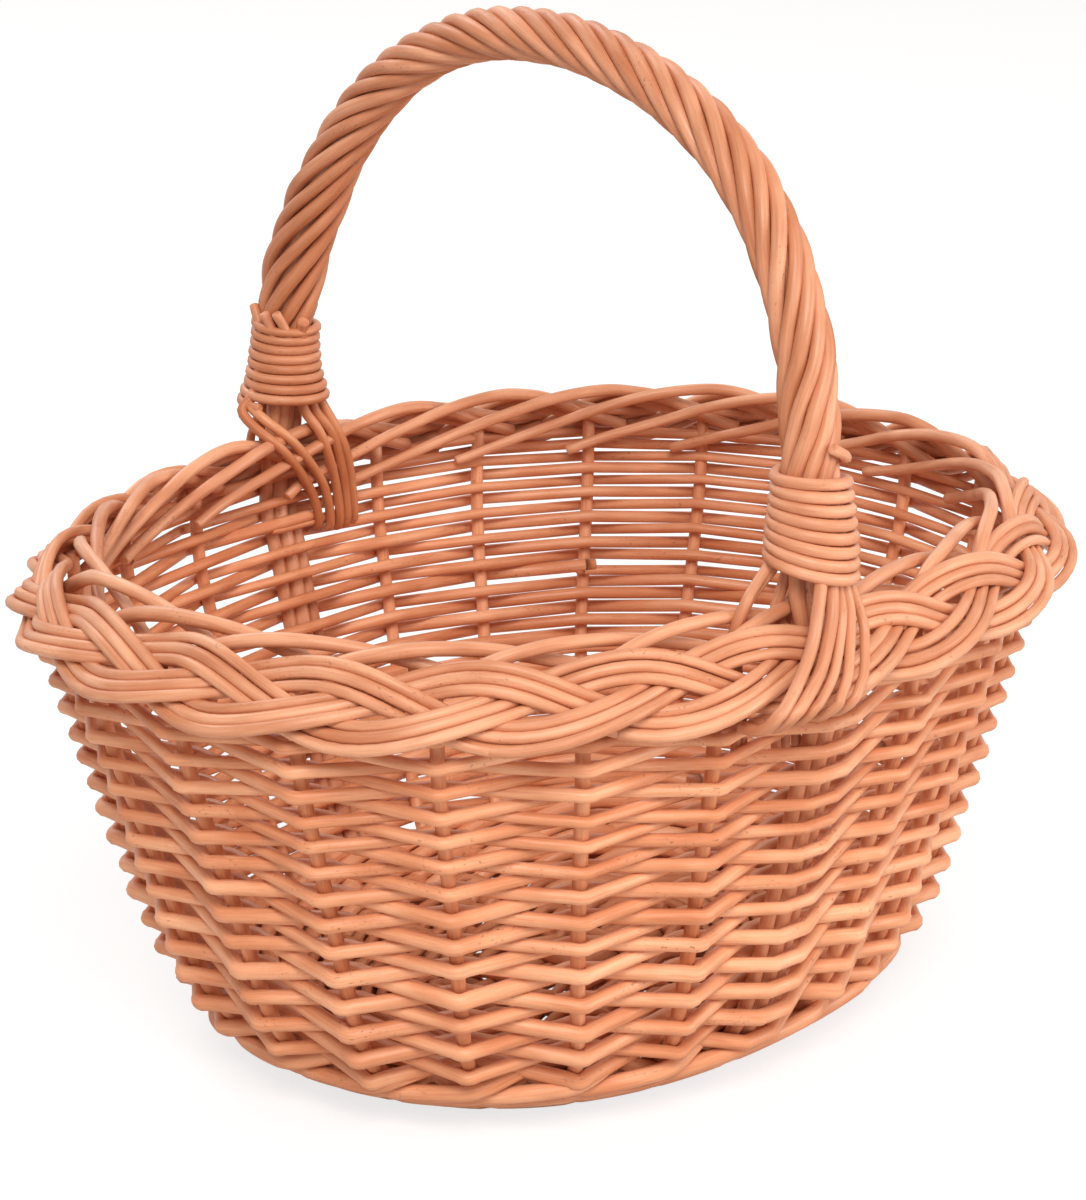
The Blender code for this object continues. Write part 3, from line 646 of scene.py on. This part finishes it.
def build_base_weave():
    """Two rods that pass over one stick and under the next, out to the edge of the base."""
    rods = Rods("willow_base_weave")
    for rod in (0, 1):
        points = base_spiral(rod)
        crossings = stick_crossings(points)
        for k, p in enumerate(points):
            j = bisect.bisect_right(crossings, k)
            before = crossings[j - 1] if j else -1
            after = crossings[j] if j < len(crossings) else len(points)
            f = (k - before) / max(after - before, 1)
            over = 1 if j % 2 == rod else -1
            p.z = BASE_MIDDLE + math.cos(math.pi * f) * over * BASE_SWING
        rods.add(points, BASE_ROD, sides=THIN_SIDES)
    rods.done(STICK, "base_weave")


# Border

PLAIT_SWINGS = ((6, 0.0106), (8.7, 0.0086), (11.4, 0.0106))
PLAIT_DEPTH, PLAIT_ROLL, PLAIT_OFFSET = 0.0030, math.radians(10), 0.0016
PLAIT_STEPS = 9
STRAND_RODS, STRAND_ROD, STRAND_SPACING = 3, 0.0021, 0.0042
STRAND_SPREAD, STRAND_TAPER = (0.93, 1.08), (1.06, 0.94)
STRAND_DRIFT, STRAND_LIFT = 0.0007, 0.0005
STRAND_DRIFT_RATE, STRAND_LIFT_RATE = 0.9, 0.8
# Where a strand dives under the others, in stations round the rim, and how its rods end there
FIRST_DIVE, DIVE_SPACING = 0.375, 1.5
ROD_OVERLAP, LEG_CLEARANCE = 0.10, 1.2
# How far the plait runs ahead of even spacing, by station
PLAIT_DRIFT = ((5, 0), (9.5, -0.37), (11, -0.20), (13, -0.13), (15, -0.06), (17, 0.08), (18.5, 0.30),
               (20, 0.38), (28, 0))
# A roll rod: stations round the rim, then millimetres out and up from the top of the wall
ROLL_LINE = ((-0.30, -3.5, 9.0), (0.02, -7.0, 15.0), (0.32, -9.8, 21.6), (0.60, -11.6, 25.3),
             (0.92, -13.4, 26.8), (1.40, -16.8, 25.0), (1.90, -17.4, 20.0), (2.40, -15.0, 13.0),
             (2.90, -12.2, 6.0), (3.30, -10.9, 1.0))
ROLL_CREST = range(3, 7)
ROLL_REACH, ROLL_LIFT, ROLL_JITTER = (-0.25, 0.15), (-0.8, 0.8), (-0.4, 0.4)
ROLL_RADIUS, ROLL_TIP_SHARE = (0.00240, 0.00275), 0.84
ROLL_TAPER_RATE, ROLL_TAPER_START = 1.6, 0.5


def plait_frame(u, strand):
    """Middle of a strand, u stations round the rim, and the direction out of its face."""
    turn = 2 * math.pi * (u - table(u, PLAIT_DRIFT) + strand) / 3
    middle, across, face = border_frame(station_share(u))
    roll = PLAIT_ROLL * math.cos(turn)
    point = (middle + across * (PLAIT_OFFSET + table(u, PLAIT_SWINGS) * math.sin(turn))
             - face * PLAIT_DEPTH * math.sin(2 * turn))
    return point, face * math.cos(roll) + across * math.sin(roll)


def plait_rod(draw, strand, place, low, high):
    """Line and radii of a rod that lies the given place off its strand's middle, from low to high."""
    steps = max(round((high - low) * PLAIT_STEPS), 4)
    thick = draw.uniform(*STRAND_SPREAD)
    seed = draw.uniform(0, 100)
    line, radii = [], []
    for i in range(steps + 1):
        u = low + (high - low) * i / steps
        point, face = plait_frame(u, strand)
        ahead, _ = plait_frame(u + 0.02, strand)
        side = (ahead - point).normalized().cross(face).normalized()
        aside = place * STRAND_SPACING + noise_at(u * STRAND_DRIFT_RATE, seed, 0) * STRAND_DRIFT
        lift = noise_at(u * STRAND_LIFT_RATE, seed, 7) * STRAND_LIFT
        line.append(point + side * aside + face * lift)
        radii.append(STRAND_ROD * thick * mix(*STRAND_TAPER, i / steps))
    return line, radii


def rim_spot(share, out_by, up_by):
    """Point in millimetres out and up from the top of the wall."""
    top = ring_point(share, WALL_TOP_HALF_LENGTH, WALL_HEIGHT)
    return top + ring_out(share) * (out_by / 1000) + UP * (up_by / 1000)


def roll_rod(draw, k):
    """One thick rod per stake, out of the plait's inner edge, over its crest and down inside."""
    reach = draw.uniform(*ROLL_REACH)
    lift = draw.uniform(*ROLL_LIFT)
    spots = []
    for n, (u, out_by, up_by) in enumerate(ROLL_LINE):
        u += reach if n == len(ROLL_LINE) - 1 else 0
        up_by += lift if n in ROLL_CREST else 0
        spots.append(rim_spot(station_share(k + u), out_by + draw.uniform(*ROLL_JITTER), up_by))
    line = spline(spots, 5)
    thick = draw.uniform(*ROLL_RADIUS)
    shares = [ROLL_TAPER_RATE * i / len(line) - ROLL_TAPER_START for i in range(len(line))]
    return line, [thick * mix(1.0, ROLL_TIP_SHARE, share) for share in shares]


def build_border():
    for name, low, high in (("left", FAR_LEG, NEAR_LEG), ("right", NEAR_LEG, FAR_LEG + STATIONS)):
        for strand in range(3):
            rods = Rods(f"willow_plait_{name}_{strand + 1}")
            dives = [FIRST_DIVE - strand + DIVE_SPACING * j for j in range(-2, STATIONS + 1)]
            dives = [d + table(d, PLAIT_DRIFT) for d in dives]
            for k in range(STRAND_RODS):
                seams = [d for d in dives[k % 2::4] if low + LEG_CLEARANCE < d < high - LEG_CLEARANCE]
                cuts = [low] + seams + [high]
                for a, b in zip(cuts, cuts[1:]):
                    rods.add(*plait_rod(rods.draw, strand, k - 1, a - ROD_OVERLAP, b + ROD_OVERLAP))
            rods.done(BORDER, f"border_strand_{name}_{strand + 1}")
        rods = Rods(f"willow_roll_{name}")
        for k in range(low, high):
            rods.add(*roll_rod(rods.draw, k))
        rods.done(BORDER, f"border_roll_{name}")


# Bow handle. Runs go along the arch from the far foot, in metres

def bow_foot(station):
    share = station_share(station)
    middle, _, _ = border_frame(share)
    return middle - ring_out(share) * BOW_INSET + UP * BOW_FOOT_HEIGHT


ARCH_STEPS, WAY_STEPS = 400, 6
# Sways of the bow: size, then place and reach as shares of the arch
BOW_SWAY = ((-0.0028, 0.098, 0.095), (0.0055, 0.711, 0.167))
FAR_FOOT, NEAR_FOOT = bow_foot(FAR_LEG), bow_foot(NEAR_LEG)
LEVEL = (NEAR_FOOT - FAR_FOOT).normalized()
BOW_SIDE = Vector((LEVEL.y, -LEVEL.x, 0))
# How far the near leg leans in, by the run from its foot
NEAR_SHIFT = ((0.0, 0.0034), (0.010, 0.0034), (0.040, 0.0030), (0.058, 0.0019), (0.080, 0.0), (1.0, 0.0))


def bow_arch_point(f):
    a = math.pi * f
    level = FAR_FOOT.lerp(NEAR_FOOT, (1 - signed_power(math.cos(a), 2 / BOW_POWER)) / 2)
    for size, place, reach in BOW_SWAY:
        level += LEVEL * size * max(1 - ((f - place) / reach) ** 2, 0) ** 2
    return level + Vector((BOW_LEAN, 0, BOW_RISE)) * abs(math.sin(a)) ** (2 / BOW_POWER)


def bow_line():
    """The arch, with the near leg leaning inward as it does in the picture."""
    line = [bow_arch_point(k / ARCH_STEPS) for k in range(ARCH_STEPS + 1)]
    runs = run_along(line)
    lean = LEVEL + Vector((1, 0, 0))
    return [p - lean * table(runs[-1] - r, NEAR_SHIFT) for p, r in zip(line, runs)]


ARCH = bow_line()
ARCH_RUN = run_along(ARCH)
ARCH_LENGTH = ARCH_RUN[-1]


def arch_at(run):
    """Point of the arch and its direction at a run. Before and after the arch it goes straight on."""
    if run < 0:
        way = (ARCH[1] - ARCH[0]).normalized()
        return ARCH[0] + way * run, way
    if run > ARCH_LENGTH:
        way = (ARCH[-1] - ARCH[-2]).normalized()
        return ARCH[-1] + way * (run - ARCH_LENGTH), way
    j = min(max(bisect.bisect_right(ARCH_RUN, run) - 1, 0), len(ARCH) - 2)
    f = (run - ARCH_RUN[j]) / (ARCH_RUN[j + 1] - ARCH_RUN[j])
    a, b = max(j - WAY_STEPS, 0), min(j + WAY_STEPS + 1, len(ARCH) - 1)
    return ARCH[j].lerp(ARCH[j + 1], f), (ARCH[b] - ARCH[a]).normalized()


def at_leg(run, far):
    """Run along the arch of a place that lies the given run above the foot of one leg."""
    return run if far else ARCH_LENGTH - run


def round_arch(run, turn, radius):
    point, way = arch_at(run)
    outer = BOW_SIDE.cross(way).normalized()
    return point + (outer * math.cos(turn) + BOW_SIDE * math.sin(turn)) * radius


# Two rods beside the core of each leg: how far off it they stand at its foot and top, and their height
SIDE_FOOT, SIDE_TOP, SIDE_HEIGHT = 0.0058, 0.0040, 0.028
SIDE_TAPER = (0.0024, 0.0028)
# The core: its thickness by run, the splits of its line, and where it swells out of the wall
BOW_CORE = ((0.0, 0.0050), (0.05, 0.0064), (0.10, 0.0062), (0.15, 0.0050), (1.0, 0.0047))
CORE_STEPS, CORE_SPLITS = 40, 3
CORE_SWELL_HEIGHT, CORE_SWELL_LENGTH = 0.19, 0.03
# The roping: radius of its rods' middles, length of one turn and painted shade on the far leg, by run
ROPE_LINE = ((-0.004, 0.0135), (0.0066, 0.0127), (0.0116, 0.0110), (0.017, 0.0093), (0.023, 0.0082),
             (0.034, 0.0072), (0.039, 0.0076), (0.047, 0.0093), (0.062, 0.0098), (0.085, 0.0093),
             (0.125, 0.0080), (0.20, 0.0071), (0.27, 0.0070), (ARCH_LENGTH - 0.11, 0.0075),
             (ARCH_LENGTH - 0.06, 0.0077), (ARCH_LENGTH - 0.042, 0.0072), (ARCH_LENGTH - 0.010, 0.0099),
             (ARCH_LENGTH + 0.004, 0.0103))
ROPE_LEAD = ((0.0, 0.150), (0.11, 0.135), (0.20, 0.105), (0.27, 0.105), (0.35, 0.115), (ARCH_LENGTH, 0.115))
FAR_LEG_PAINTED_SHADE = ((0.0, 0.70), (0.09, 0.60), (0.17, 0.0), (1.0, 0.0))
ROPE_FROM, ROPE_TO, ROPE_STEPS = 0.011, ARCH_LENGTH - 0.013, 150
ROPE_RODS, ROPE_PIECES, ROPE_PHASE = 8, 4, 0.3
ROPE_ROD, ROPE_TAPER = 0.00262, 0.09
ROPE_DRIFT, ROPE_LIFT = 0.07, 0.0004
ROPE_DRIFT_RATE, ROPE_LIFT_RATE = 14, 18


def build_bow():
    """The thick core from leg to leg, and the two thinner rods beside each leg."""
    rods = Rods("willow_bow")
    feet = []
    for station, far in ((FAR_LEG, True), (NEAR_LEG, False)):
        share = station_share(station)
        low = [ring_point(share, r, z) for r, z in KNOTS[2:-1]]
        (r0, z0), (r1, z1) = KNOTS[-2], KNOTS[-1]
        low.append(ring_point(share, mix(r0, r1, LEG_BEND), mix(z0, z1, LEG_BEND)))
        feet.append(low)
        along = ring_along(share)
        foot, _ = arch_at(at_leg(0, far))
        top, _ = arch_at(at_leg(SIDE_HEIGHT, far))
        for side in (-1, 1):
            line = [p + along * (side * LEG_SPREAD) for p in low]
            line += [foot + along * side * SIDE_FOOT, top + along * side * SIDE_TOP]
            line = spline(line, 4)
            rods.add(line, tapered(len(line), *SIDE_TAPER))
    arch = [arch_at(ARCH_LENGTH * k / CORE_STEPS)[0] for k in range(CORE_STEPS + 1)]
    line = spline(feet[0] + arch + feet[1][::-1], CORE_SPLITS)
    start = CORE_SPLITS * len(feet[0])
    radii = []
    for i, p in enumerate(line):
        run = ARCH_LENGTH * (i - start) / (CORE_STEPS * CORE_SPLITS)
        swell = (p.z - CORE_SWELL_HEIGHT) / CORE_SWELL_LENGTH
        radii.append(mix(LEG_CORE, table(max(run, 0), BOW_CORE), swell))
    rods.add(line, radii, sides=THICK_SIDES)
    rods.done(HANDLE, "handle_bow")


def build_roping():
    """Eight rods side by side round the bow, two in each of the frame's strands."""
    runs = [mix(ROPE_FROM, ROPE_TO, k / ROPE_STEPS) for k in range(ROPE_STEPS + 1)]
    turns = [ROPE_PHASE]
    for a, b in zip(runs, runs[1:]):
        turns.append(turns[-1] + 2 * math.pi * (b - a) / table(a, ROPE_LEAD))
    pieces = [Rods(f"willow_roping_{k + 1}") for k in range(ROPE_PIECES)]
    for k in range(ROPE_RODS):
        piece = pieces[k * ROPE_PIECES // ROPE_RODS]
        seed = piece.draw.uniform(0, 50)
        grow = ROPE_TAPER if k % 2 else -ROPE_TAPER
        line, radii = [], []
        for run, turn in zip(runs, turns):
            drift = noise_at(run * ROPE_DRIFT_RATE, seed, 0) * ROPE_DRIFT
            angle = turn + drift + 2 * math.pi * k / ROPE_RODS
            centre = table(run, ROPE_LINE) + noise_at(run * ROPE_LIFT_RATE, seed, 5) * ROPE_LIFT
            line.append(round_arch(run, angle, centre))
            radii.append(ROPE_ROD * (1 + grow * (run / ARCH_LENGTH - 0.5) * 2))
        tone = piece.draw.random()
        # Painted shade: the far leg's rods are darker in their tone
        piece.add(line, radii, sides=THICK_SIDES, tone=[tone + table(run, FAR_LEG_PAINTED_SHADE) for run in runs])
    for k, piece in enumerate(pieces):
        piece.done(HANDLE, f"handle_rope_strand_{k + 1}")


# Bindings and tails

# Each binding: turns, rod radius, first angle, way round, then start and pitch on each side in millimetres
BINDINGS = {"far": (8.2, 0.00192, 43.6, 1, 38.4, 3.75, 37.4, 3.95),
            "near": (7.9, 0.00212, 136.4, -1, 40.3, 3.74, 36.3, 4.37)}
BINDING_STEPS, BINDING_THIN_END, BINDING_THIN_STEPS = 22, 0.9, 30
BINDING_SEAT, BINDING_JITTER, BINDING_JITTER_RATE = 0.0025, 0.0004, 4.4
# Painted shade: the far binding's tone is pushed toward the deep colour
FAR_BINDING_PAINTED_SHADE = 0.85
# The near binding's start, which climbs out of the turns: its steps and how fast it climbs
NEAR_LEAD_STEPS, LEAD_CLIMB, LEAD_LATE_CLIMB = 14, 7, 18
# Loose tips at the top of the far binding: angle and height at the top, then where they go under
FAR_TIPS = ((50, 44.0, 92, 34.5, 0.0019), (99, 44.5, 121, 34.5, 0.0020), (123, 46.0, 152, 34.5, 0.0019),
            (172, 43.0, 178, 34.0, 0.0024))
TIP_STEPS, TIP_SEAT, TIP_LIFT = 7, 0.0026, (0.0016, 0.0005)


def binding_line(name):
    """Coil of a binding, wound down the leg from its top turn."""
    far = name == "far"
    turns, radius, first, way, left, left_pitch, right, right_pitch = BINDINGS[name]
    line = []
    for k in range(0 if far else -NEAR_LEAD_STEPS, int(turns * BINDING_STEPS) + 1):
        turn = k / BINDING_STEPS
        sideways = (1 - math.cos(2 * math.pi * turn)) / 2
        height = mix(left - left_pitch * turn, right - right_pitch * (turn - 0.5), sideways)
        height += LEAD_CLIMB * max(-turn, 0) + LEAD_LATE_CLIMB * max(-turn - 0.5, 0)
        run = at_leg(height / 1000, far)
        jitter = noise_at(turn * BINDING_JITTER_RATE, 3.0 if far else 9.0, 0) * BINDING_JITTER
        hug = table(run, ROPE_LINE) + BINDING_SEAT + radius + jitter
        line.append(round_arch(run, math.radians(first + way * 360 * turn), hug))
    return line, [radius * mix(BINDING_THIN_END, 1.0, i / BINDING_THIN_STEPS) for i in range(len(line))]


def binding_tip(start, high, end, low):
    tip = []
    for i in range(TIP_STEPS + 1):
        share = i / TIP_STEPS
        run = mix(high, low, share) / 1000
        hug = table(run, ROPE_LINE) + TIP_SEAT + mix(*TIP_LIFT, share)
        tip.append(round_arch(run, math.radians(mix(start, end, share)), hug))
    return tip


def build_bindings():
    # The far binding gets painted shade in its tone, the near one none
    for name, tone, tips in (("far", FAR_BINDING_PAINTED_SHADE, FAR_TIPS), ("near", 0.0, ())):
        rods = Rods(f"willow_binding_{name}")
        rods.add(*binding_line(name), tone=tone)
        for *place, radius in tips:
            rods.add(binding_tip(*place), radius)
        rods.done(HANDLE, f"handle_binding_{name}")


# Tails outside: lean against the station spacing, then millimetres across and out of the plait
OUTER_TAILS = (
    ((0.21, -17.2, 20.3), (0.26, -10.6, 14.9), (0.39, 0.3, 10.0), (0.60, 10.4, 9.0), (0.78, 18.0, 8.6),
     (0.85, 20.2, 7.3)),
    ((0.10, -16.1, 19.5), (0.14, -8.1, 13.3), (0.27, 1.6, 9.8), (0.44, 10.3, 9.1), (0.65, 18.3, 8.5),
     (0.73, 20.6, 7.0)),
    ((0.03, -14.4, 18.2), (0.05, -7.4, 12.8), (0.17, 2.7, 9.4), (0.33, 11.6, 8.9), (0.49, 18.0, 8.2),
     (0.57, 20.4, 7.0)),
    ((-0.03, -14.6, 18.3), (-0.02, -6.7, 12.5), (0.08, 3.6, 9.2), (0.22, 13.0, 8.8), (0.34, 18.9, 7.8),
     (0.37, 20.6, 6.8)),
    ((-0.09, -14.1, 17.9), (-0.12, -3.4, 10.9), (-0.03, 5.9, 9.1), (0.08, 13.5, 8.8), (0.18, 18.1, 8.2),
     (0.23, 20.4, 7.0)))
OUTER_TUCK = ((0.03, 21.0, 3.4), (0.05, 20.2, -1.0), (0.06, 17.6, -5.0), (0.07, 14.5, -8.5))
OUTER_THICK = (0.00225, 0.00225, 0.00175, 0.0019, 0.00175)
# Tails inside: millimetres along the rim, up and out from the top of the wall
FAR_INNER = (
    ((21.3, 37.4, -3), (19, 31, -11), (15.6, 25.3, -19), (5.1, 14.6, -17.8), (-7.3, -0.3, -13.2),
     (-12.7, -13.5, -10.5), (-13.5, -17, -4)),
    ((17.7, 39.5, -3), (16.2, 34.8, -12), (9.2, 26.8, -18.7), (-0.7, 16.3, -18.2), (-13.2, 1.5, -13.6),
     (-19, -15, -10.5), (-19.5, -18, -4)),
    ((-2.6, 35.3, -16.7), (-6.6, 26.5, -18.7), (-12, 14.9, -18), (-19.5, 1.1, -13.5), (-24, -15.5, -10.5),
     (-24.5, -18.5, -4)),
    ((-8.5, 34.3, -16.9), (-12.5, 25.4, -19), (-19.3, 11.3, -16.7), (-25.2, -2.1, -12.7),
     (-27.7, -15.5, -10.5), (-28.5, -18.5, -4)),
    ((-13.5, 34.8, -16.8), (-15.7, 25.7, -18.9), (-21.3, 15, -18), (-27.6, 1.4, -13.6), (-31.4, -15, -10.5),
     (-32, -18, -4)))
NEAR_INNER = (
    ((-13.4, 40.8, -17), (-21.4, 33.7, -15.6), (-26.0, 30.0, -15), (-29, 22, -16), (-30, 8, -15),
     (-31, -8, -11.5), (-32, -22, -10)),
    ((-15.4, 41.6, -17), (-23.0, 34.4, -15), (-27.2, 31.0, -14), (-31.5, 22, -15), (-33, 8, -14.5),
     (-34, -8, -11.5), (-35, -20, -10)),
    ((-9.2, 37.2, -16), (-11.6, 22.2, -16.5), (-13, 8, -15), (-15, -8, -12), (-16, -22, -10)),
    ((-3.6, 33.8, -14.5), (-8.9, 20.3, -16), (-10, 8, -15), (-11, -8, -12), (-12, -22, -10)),
    ((-4.0, 33.3, -9), (-5.5, 21.1, -12), (-5.8, 8, -13.5), (-6, -8, -12), (-6.5, -22, -10)))
OUTER_TAPER, OUTER_TONE, INNER_TAPER = (1.03, 0.92), 0.6, (0.0021, 0.0018)
# How a tail comes out from under its binding: heights above its first seen spot, with limits of the
# distance from the middle of the bow there
TAIL_LEADS, FAR_LEAD_EXTRA = ((0.013, 0.0092), (0.006, 0.0104)), 0.0025
LEAD_SHARE, LEAD_PULL = 0.8, 0.0018


def from_binding(first, far):
    """Two spots that lead a tail out from under the binding, and its first seen spot, pulled in."""
    foot, _ = arch_at(at_leg(0, far))
    spots = []
    for above, limit in TAIL_LEADS:
        middle, _ = arch_at(at_leg(max(first.z - foot.z, 0) + above, far))
        away = first - middle
        away.z = 0
        limit += FAR_LEAD_EXTRA if far else 0
        spots.append(middle + away.normalized() * min(away.length * LEAD_SHARE, limit))
    return spots + [first - away.normalized() * LEAD_PULL]


def tail_line(spots, far):
    return spline(from_binding(spots[0], far) + spots[1:], 4)


def build_tails():
    # The far tails get the darker copy of the handle's willow, which is painted shade
    for name, station, wood, inside in (("far", FAR_LEG, HANDLE_PAINTED_SHADE, FAR_INNER),
                                        ("near", NEAR_LEG, HANDLE, NEAR_INNER)):
        share = station_share(station)
        far = name == "far"
        rods = Rods(f"willow_tails_outer_{name}")
        for tail, thick in zip(OUTER_TAILS, OUTER_THICK):
            last_lean = tail[-1][0]
            tuck = tuple((last_lean + lean, across, face) for lean, across, face in OUTER_TUCK)
            spots = [border_spot(share - lean / STATIONS, across / 1000, face / 1000)
                     for lean, across, face in tail + tuck]
            line = tail_line(spots, far)
            radii = [thick * taper for taper in tapered(len(line), *OUTER_TAPER)]
            rods.add(line, radii, tone=rods.draw.random() * OUTER_TONE)
        rods.done(wood, f"handle_tail_outer_{name}")

        rods = Rods(f"willow_tails_inner_{name}")
        for tail in inside:
            spots = [rim_spot(share, out_by, up_by) + ring_along(share) * (along_by / 1000)
                     for along_by, up_by, out_by in tail]
            line = tail_line(spots, far)
            rods.add(line, tapered(len(line), *INNER_TAPER))
        rods.done(wood, f"handle_tail_inner_{name}")


# Room, light and camera

FLOOR_SIZE = 6.0
FLOOR_COLOUR, FLOOR_SEEN_COLOUR, FLOOR_GLOW = (0.72, 0.71, 0.70, 1), (0.30, 0.295, 0.29, 1), 0.76
SKY_COLOUR, SKY_STRENGTH = (1.0, 0.985, 0.965, 1), 0.50
# Each lamp: name, place, size, power and colour
LAMP_AIM = Vector((0, 0, 0.15))
LAMPS = (("key_light", (-1.5, -1.6, 2.2), 1.4, 62, (1.0, 0.97, 0.93)),
         ("fill_light", (1.2, -2.1, 0.75), 1.2, 24, (1.0, 0.98, 0.95)),
         ("back_light", (0.4, 2.0, 2.0), 1.5, 22, (1, 1, 1)))
CAMERA_TARGET = Vector((0, 0, 0.174))
CAMERA_AZIMUTH, CAMERA_ELEVATION, CAMERA_DISTANCE = math.radians(-46.42), math.radians(16.92), 1.3
FOCAL_PIXELS, AXIS_X, AXIS_Y = 3573.4, 554.6, 547.3
FRAME_WIDTH, FRAME_HEIGHT, SENSOR = 1086, 1200, 36.0
CLIP_START, CLIP_END = 0.05, 50


def plain_node(tree, kind, place, colour=None, strength=None):
    """A surface or background node with its own colour and strength, and its output."""
    node = add_node(tree, kind, place)
    if colour is not None:
        node.inputs["Color"].default_value = colour
    if strength is not None:
        node.inputs["Strength"].default_value = strength
    return node.outputs[0]


def choose(tree, factor, seen_no, seen_yes, kind):
    """Mix two shaders by a factor into the tree's output."""
    mixer = add_node(tree, "ShaderNodeMixShader", (400, 0))
    out = add_node(tree, kind, (600, 0))
    for socket, value in zip(mixer.inputs, (factor, seen_no, seen_yes)):
        tree.links.new(value, socket)
    tree.links.new(mixer.outputs[0], out.inputs["Surface"])


def build_floor():
    """Pale floor that glows a little for the camera, so that it is white but keeps its shadow."""
    bm = bmesh.new()
    bmesh.ops.create_grid(bm, x_segments=2, y_segments=2, size=FLOOR_SIZE)
    mesh = bpy.data.meshes.new("studio_floor")
    bm.to_mesh(mesh)
    bm.free()
    floor = bpy.data.objects.new("studio_floor", mesh)
    bpy.context.scene.collection.objects.link(floor)
    material = bpy.data.materials.new("pale_floor")
    material.use_nodes = True
    tree = material.node_tree
    tree.nodes.clear()
    plain = plain_node(tree, "ShaderNodeBsdfDiffuse", (0, 0), FLOOR_COLOUR)
    dim = plain_node(tree, "ShaderNodeBsdfDiffuse", (0, -150), FLOOR_SEEN_COLOUR)
    glow = plain_node(tree, "ShaderNodeEmission", (0, -300), strength=FLOOR_GLOW)
    both = add_node(tree, "ShaderNodeAddShader", (200, -200))
    tree.links.new(dim, both.inputs[0])
    tree.links.new(glow, both.inputs[1])
    path = add_node(tree, "ShaderNodeLightPath", (-200, 300))
    choose(tree, path.outputs["Is Camera Ray"], plain, both.outputs[0], "ShaderNodeOutputMaterial")
    mesh.materials.append(material)


def build_sky():
    """Soft light all round, and plain white behind the basket."""
    world = bpy.data.worlds.new("studio")
    bpy.context.scene.world = world
    world.use_nodes = True
    tree = world.node_tree
    tree.nodes.clear()
    soft = plain_node(tree, "ShaderNodeBackground", (0, 0), SKY_COLOUR, SKY_STRENGTH)
    white = plain_node(tree, "ShaderNodeBackground", (0, -200), (1, 1, 1, 1), 1.0)
    path = add_node(tree, "ShaderNodeLightPath", (-400, 300))
    seen = path.outputs["Is Camera Ray"]
    for k, ray in enumerate(("Is Glossy Ray", "Is Transmission Ray")):
        either = add_node(tree, "ShaderNodeMath", (200 * k - 200, 300), operation="MAXIMUM")
        tree.links.new(seen, either.inputs[0])
        tree.links.new(path.outputs[ray], either.inputs[1])
        seen = either.outputs[0]
    choose(tree, seen, soft, white, "ShaderNodeOutputWorld")


def build_lamps():
    for name, place, size, power, colour in LAMPS:
        lamp = bpy.data.lights.new(name, "AREA")
        lamp.shape = "DISK"
        lamp.size = size
        lamp.energy = power
        lamp.color = colour
        obj = bpy.data.objects.new(name, lamp)
        bpy.context.scene.collection.objects.link(obj)
        obj.location = place
        obj.rotation_mode = "QUATERNION"
        obj.rotation_quaternion = (LAMP_AIM - Vector(place)).to_track_quat("-Z", "Y")


def build_camera():
    az, el = CAMERA_AZIMUTH, CAMERA_ELEVATION
    back = Vector((math.sin(az) * math.cos(el), -math.cos(az) * math.cos(el), math.sin(el)))
    right = Vector((math.cos(az), math.sin(az), 0))
    data = bpy.data.cameras.new("camera")
    data.sensor_width = SENSOR
    data.lens = FOCAL_PIXELS / FRAME_HEIGHT * SENSOR
    data.shift_x = (FRAME_WIDTH / 2 - AXIS_X) / FRAME_HEIGHT
    data.shift_y = (AXIS_Y - FRAME_HEIGHT / 2) / FRAME_HEIGHT
    data.clip_start, data.clip_end = CLIP_START, CLIP_END
    camera = bpy.data.objects.new("camera", data)
    bpy.context.scene.collection.objects.link(camera)
    place = CAMERA_TARGET + back * CAMERA_DISTANCE
    turn = Matrix((right, back.cross(right), back)).transposed()
    camera.matrix_world = Matrix.Translation(place) @ turn.to_4x4()
    bpy.context.scene.camera = camera


build_sticks()
build_base_weave()
build_stakes()
build_weave()
build_border()
build_bow()
build_roping()
build_bindings()
build_tails()
bpy.context.scene.view_settings.view_transform = "Standard"
build_floor()
build_sky()
build_lamps()
build_camera()
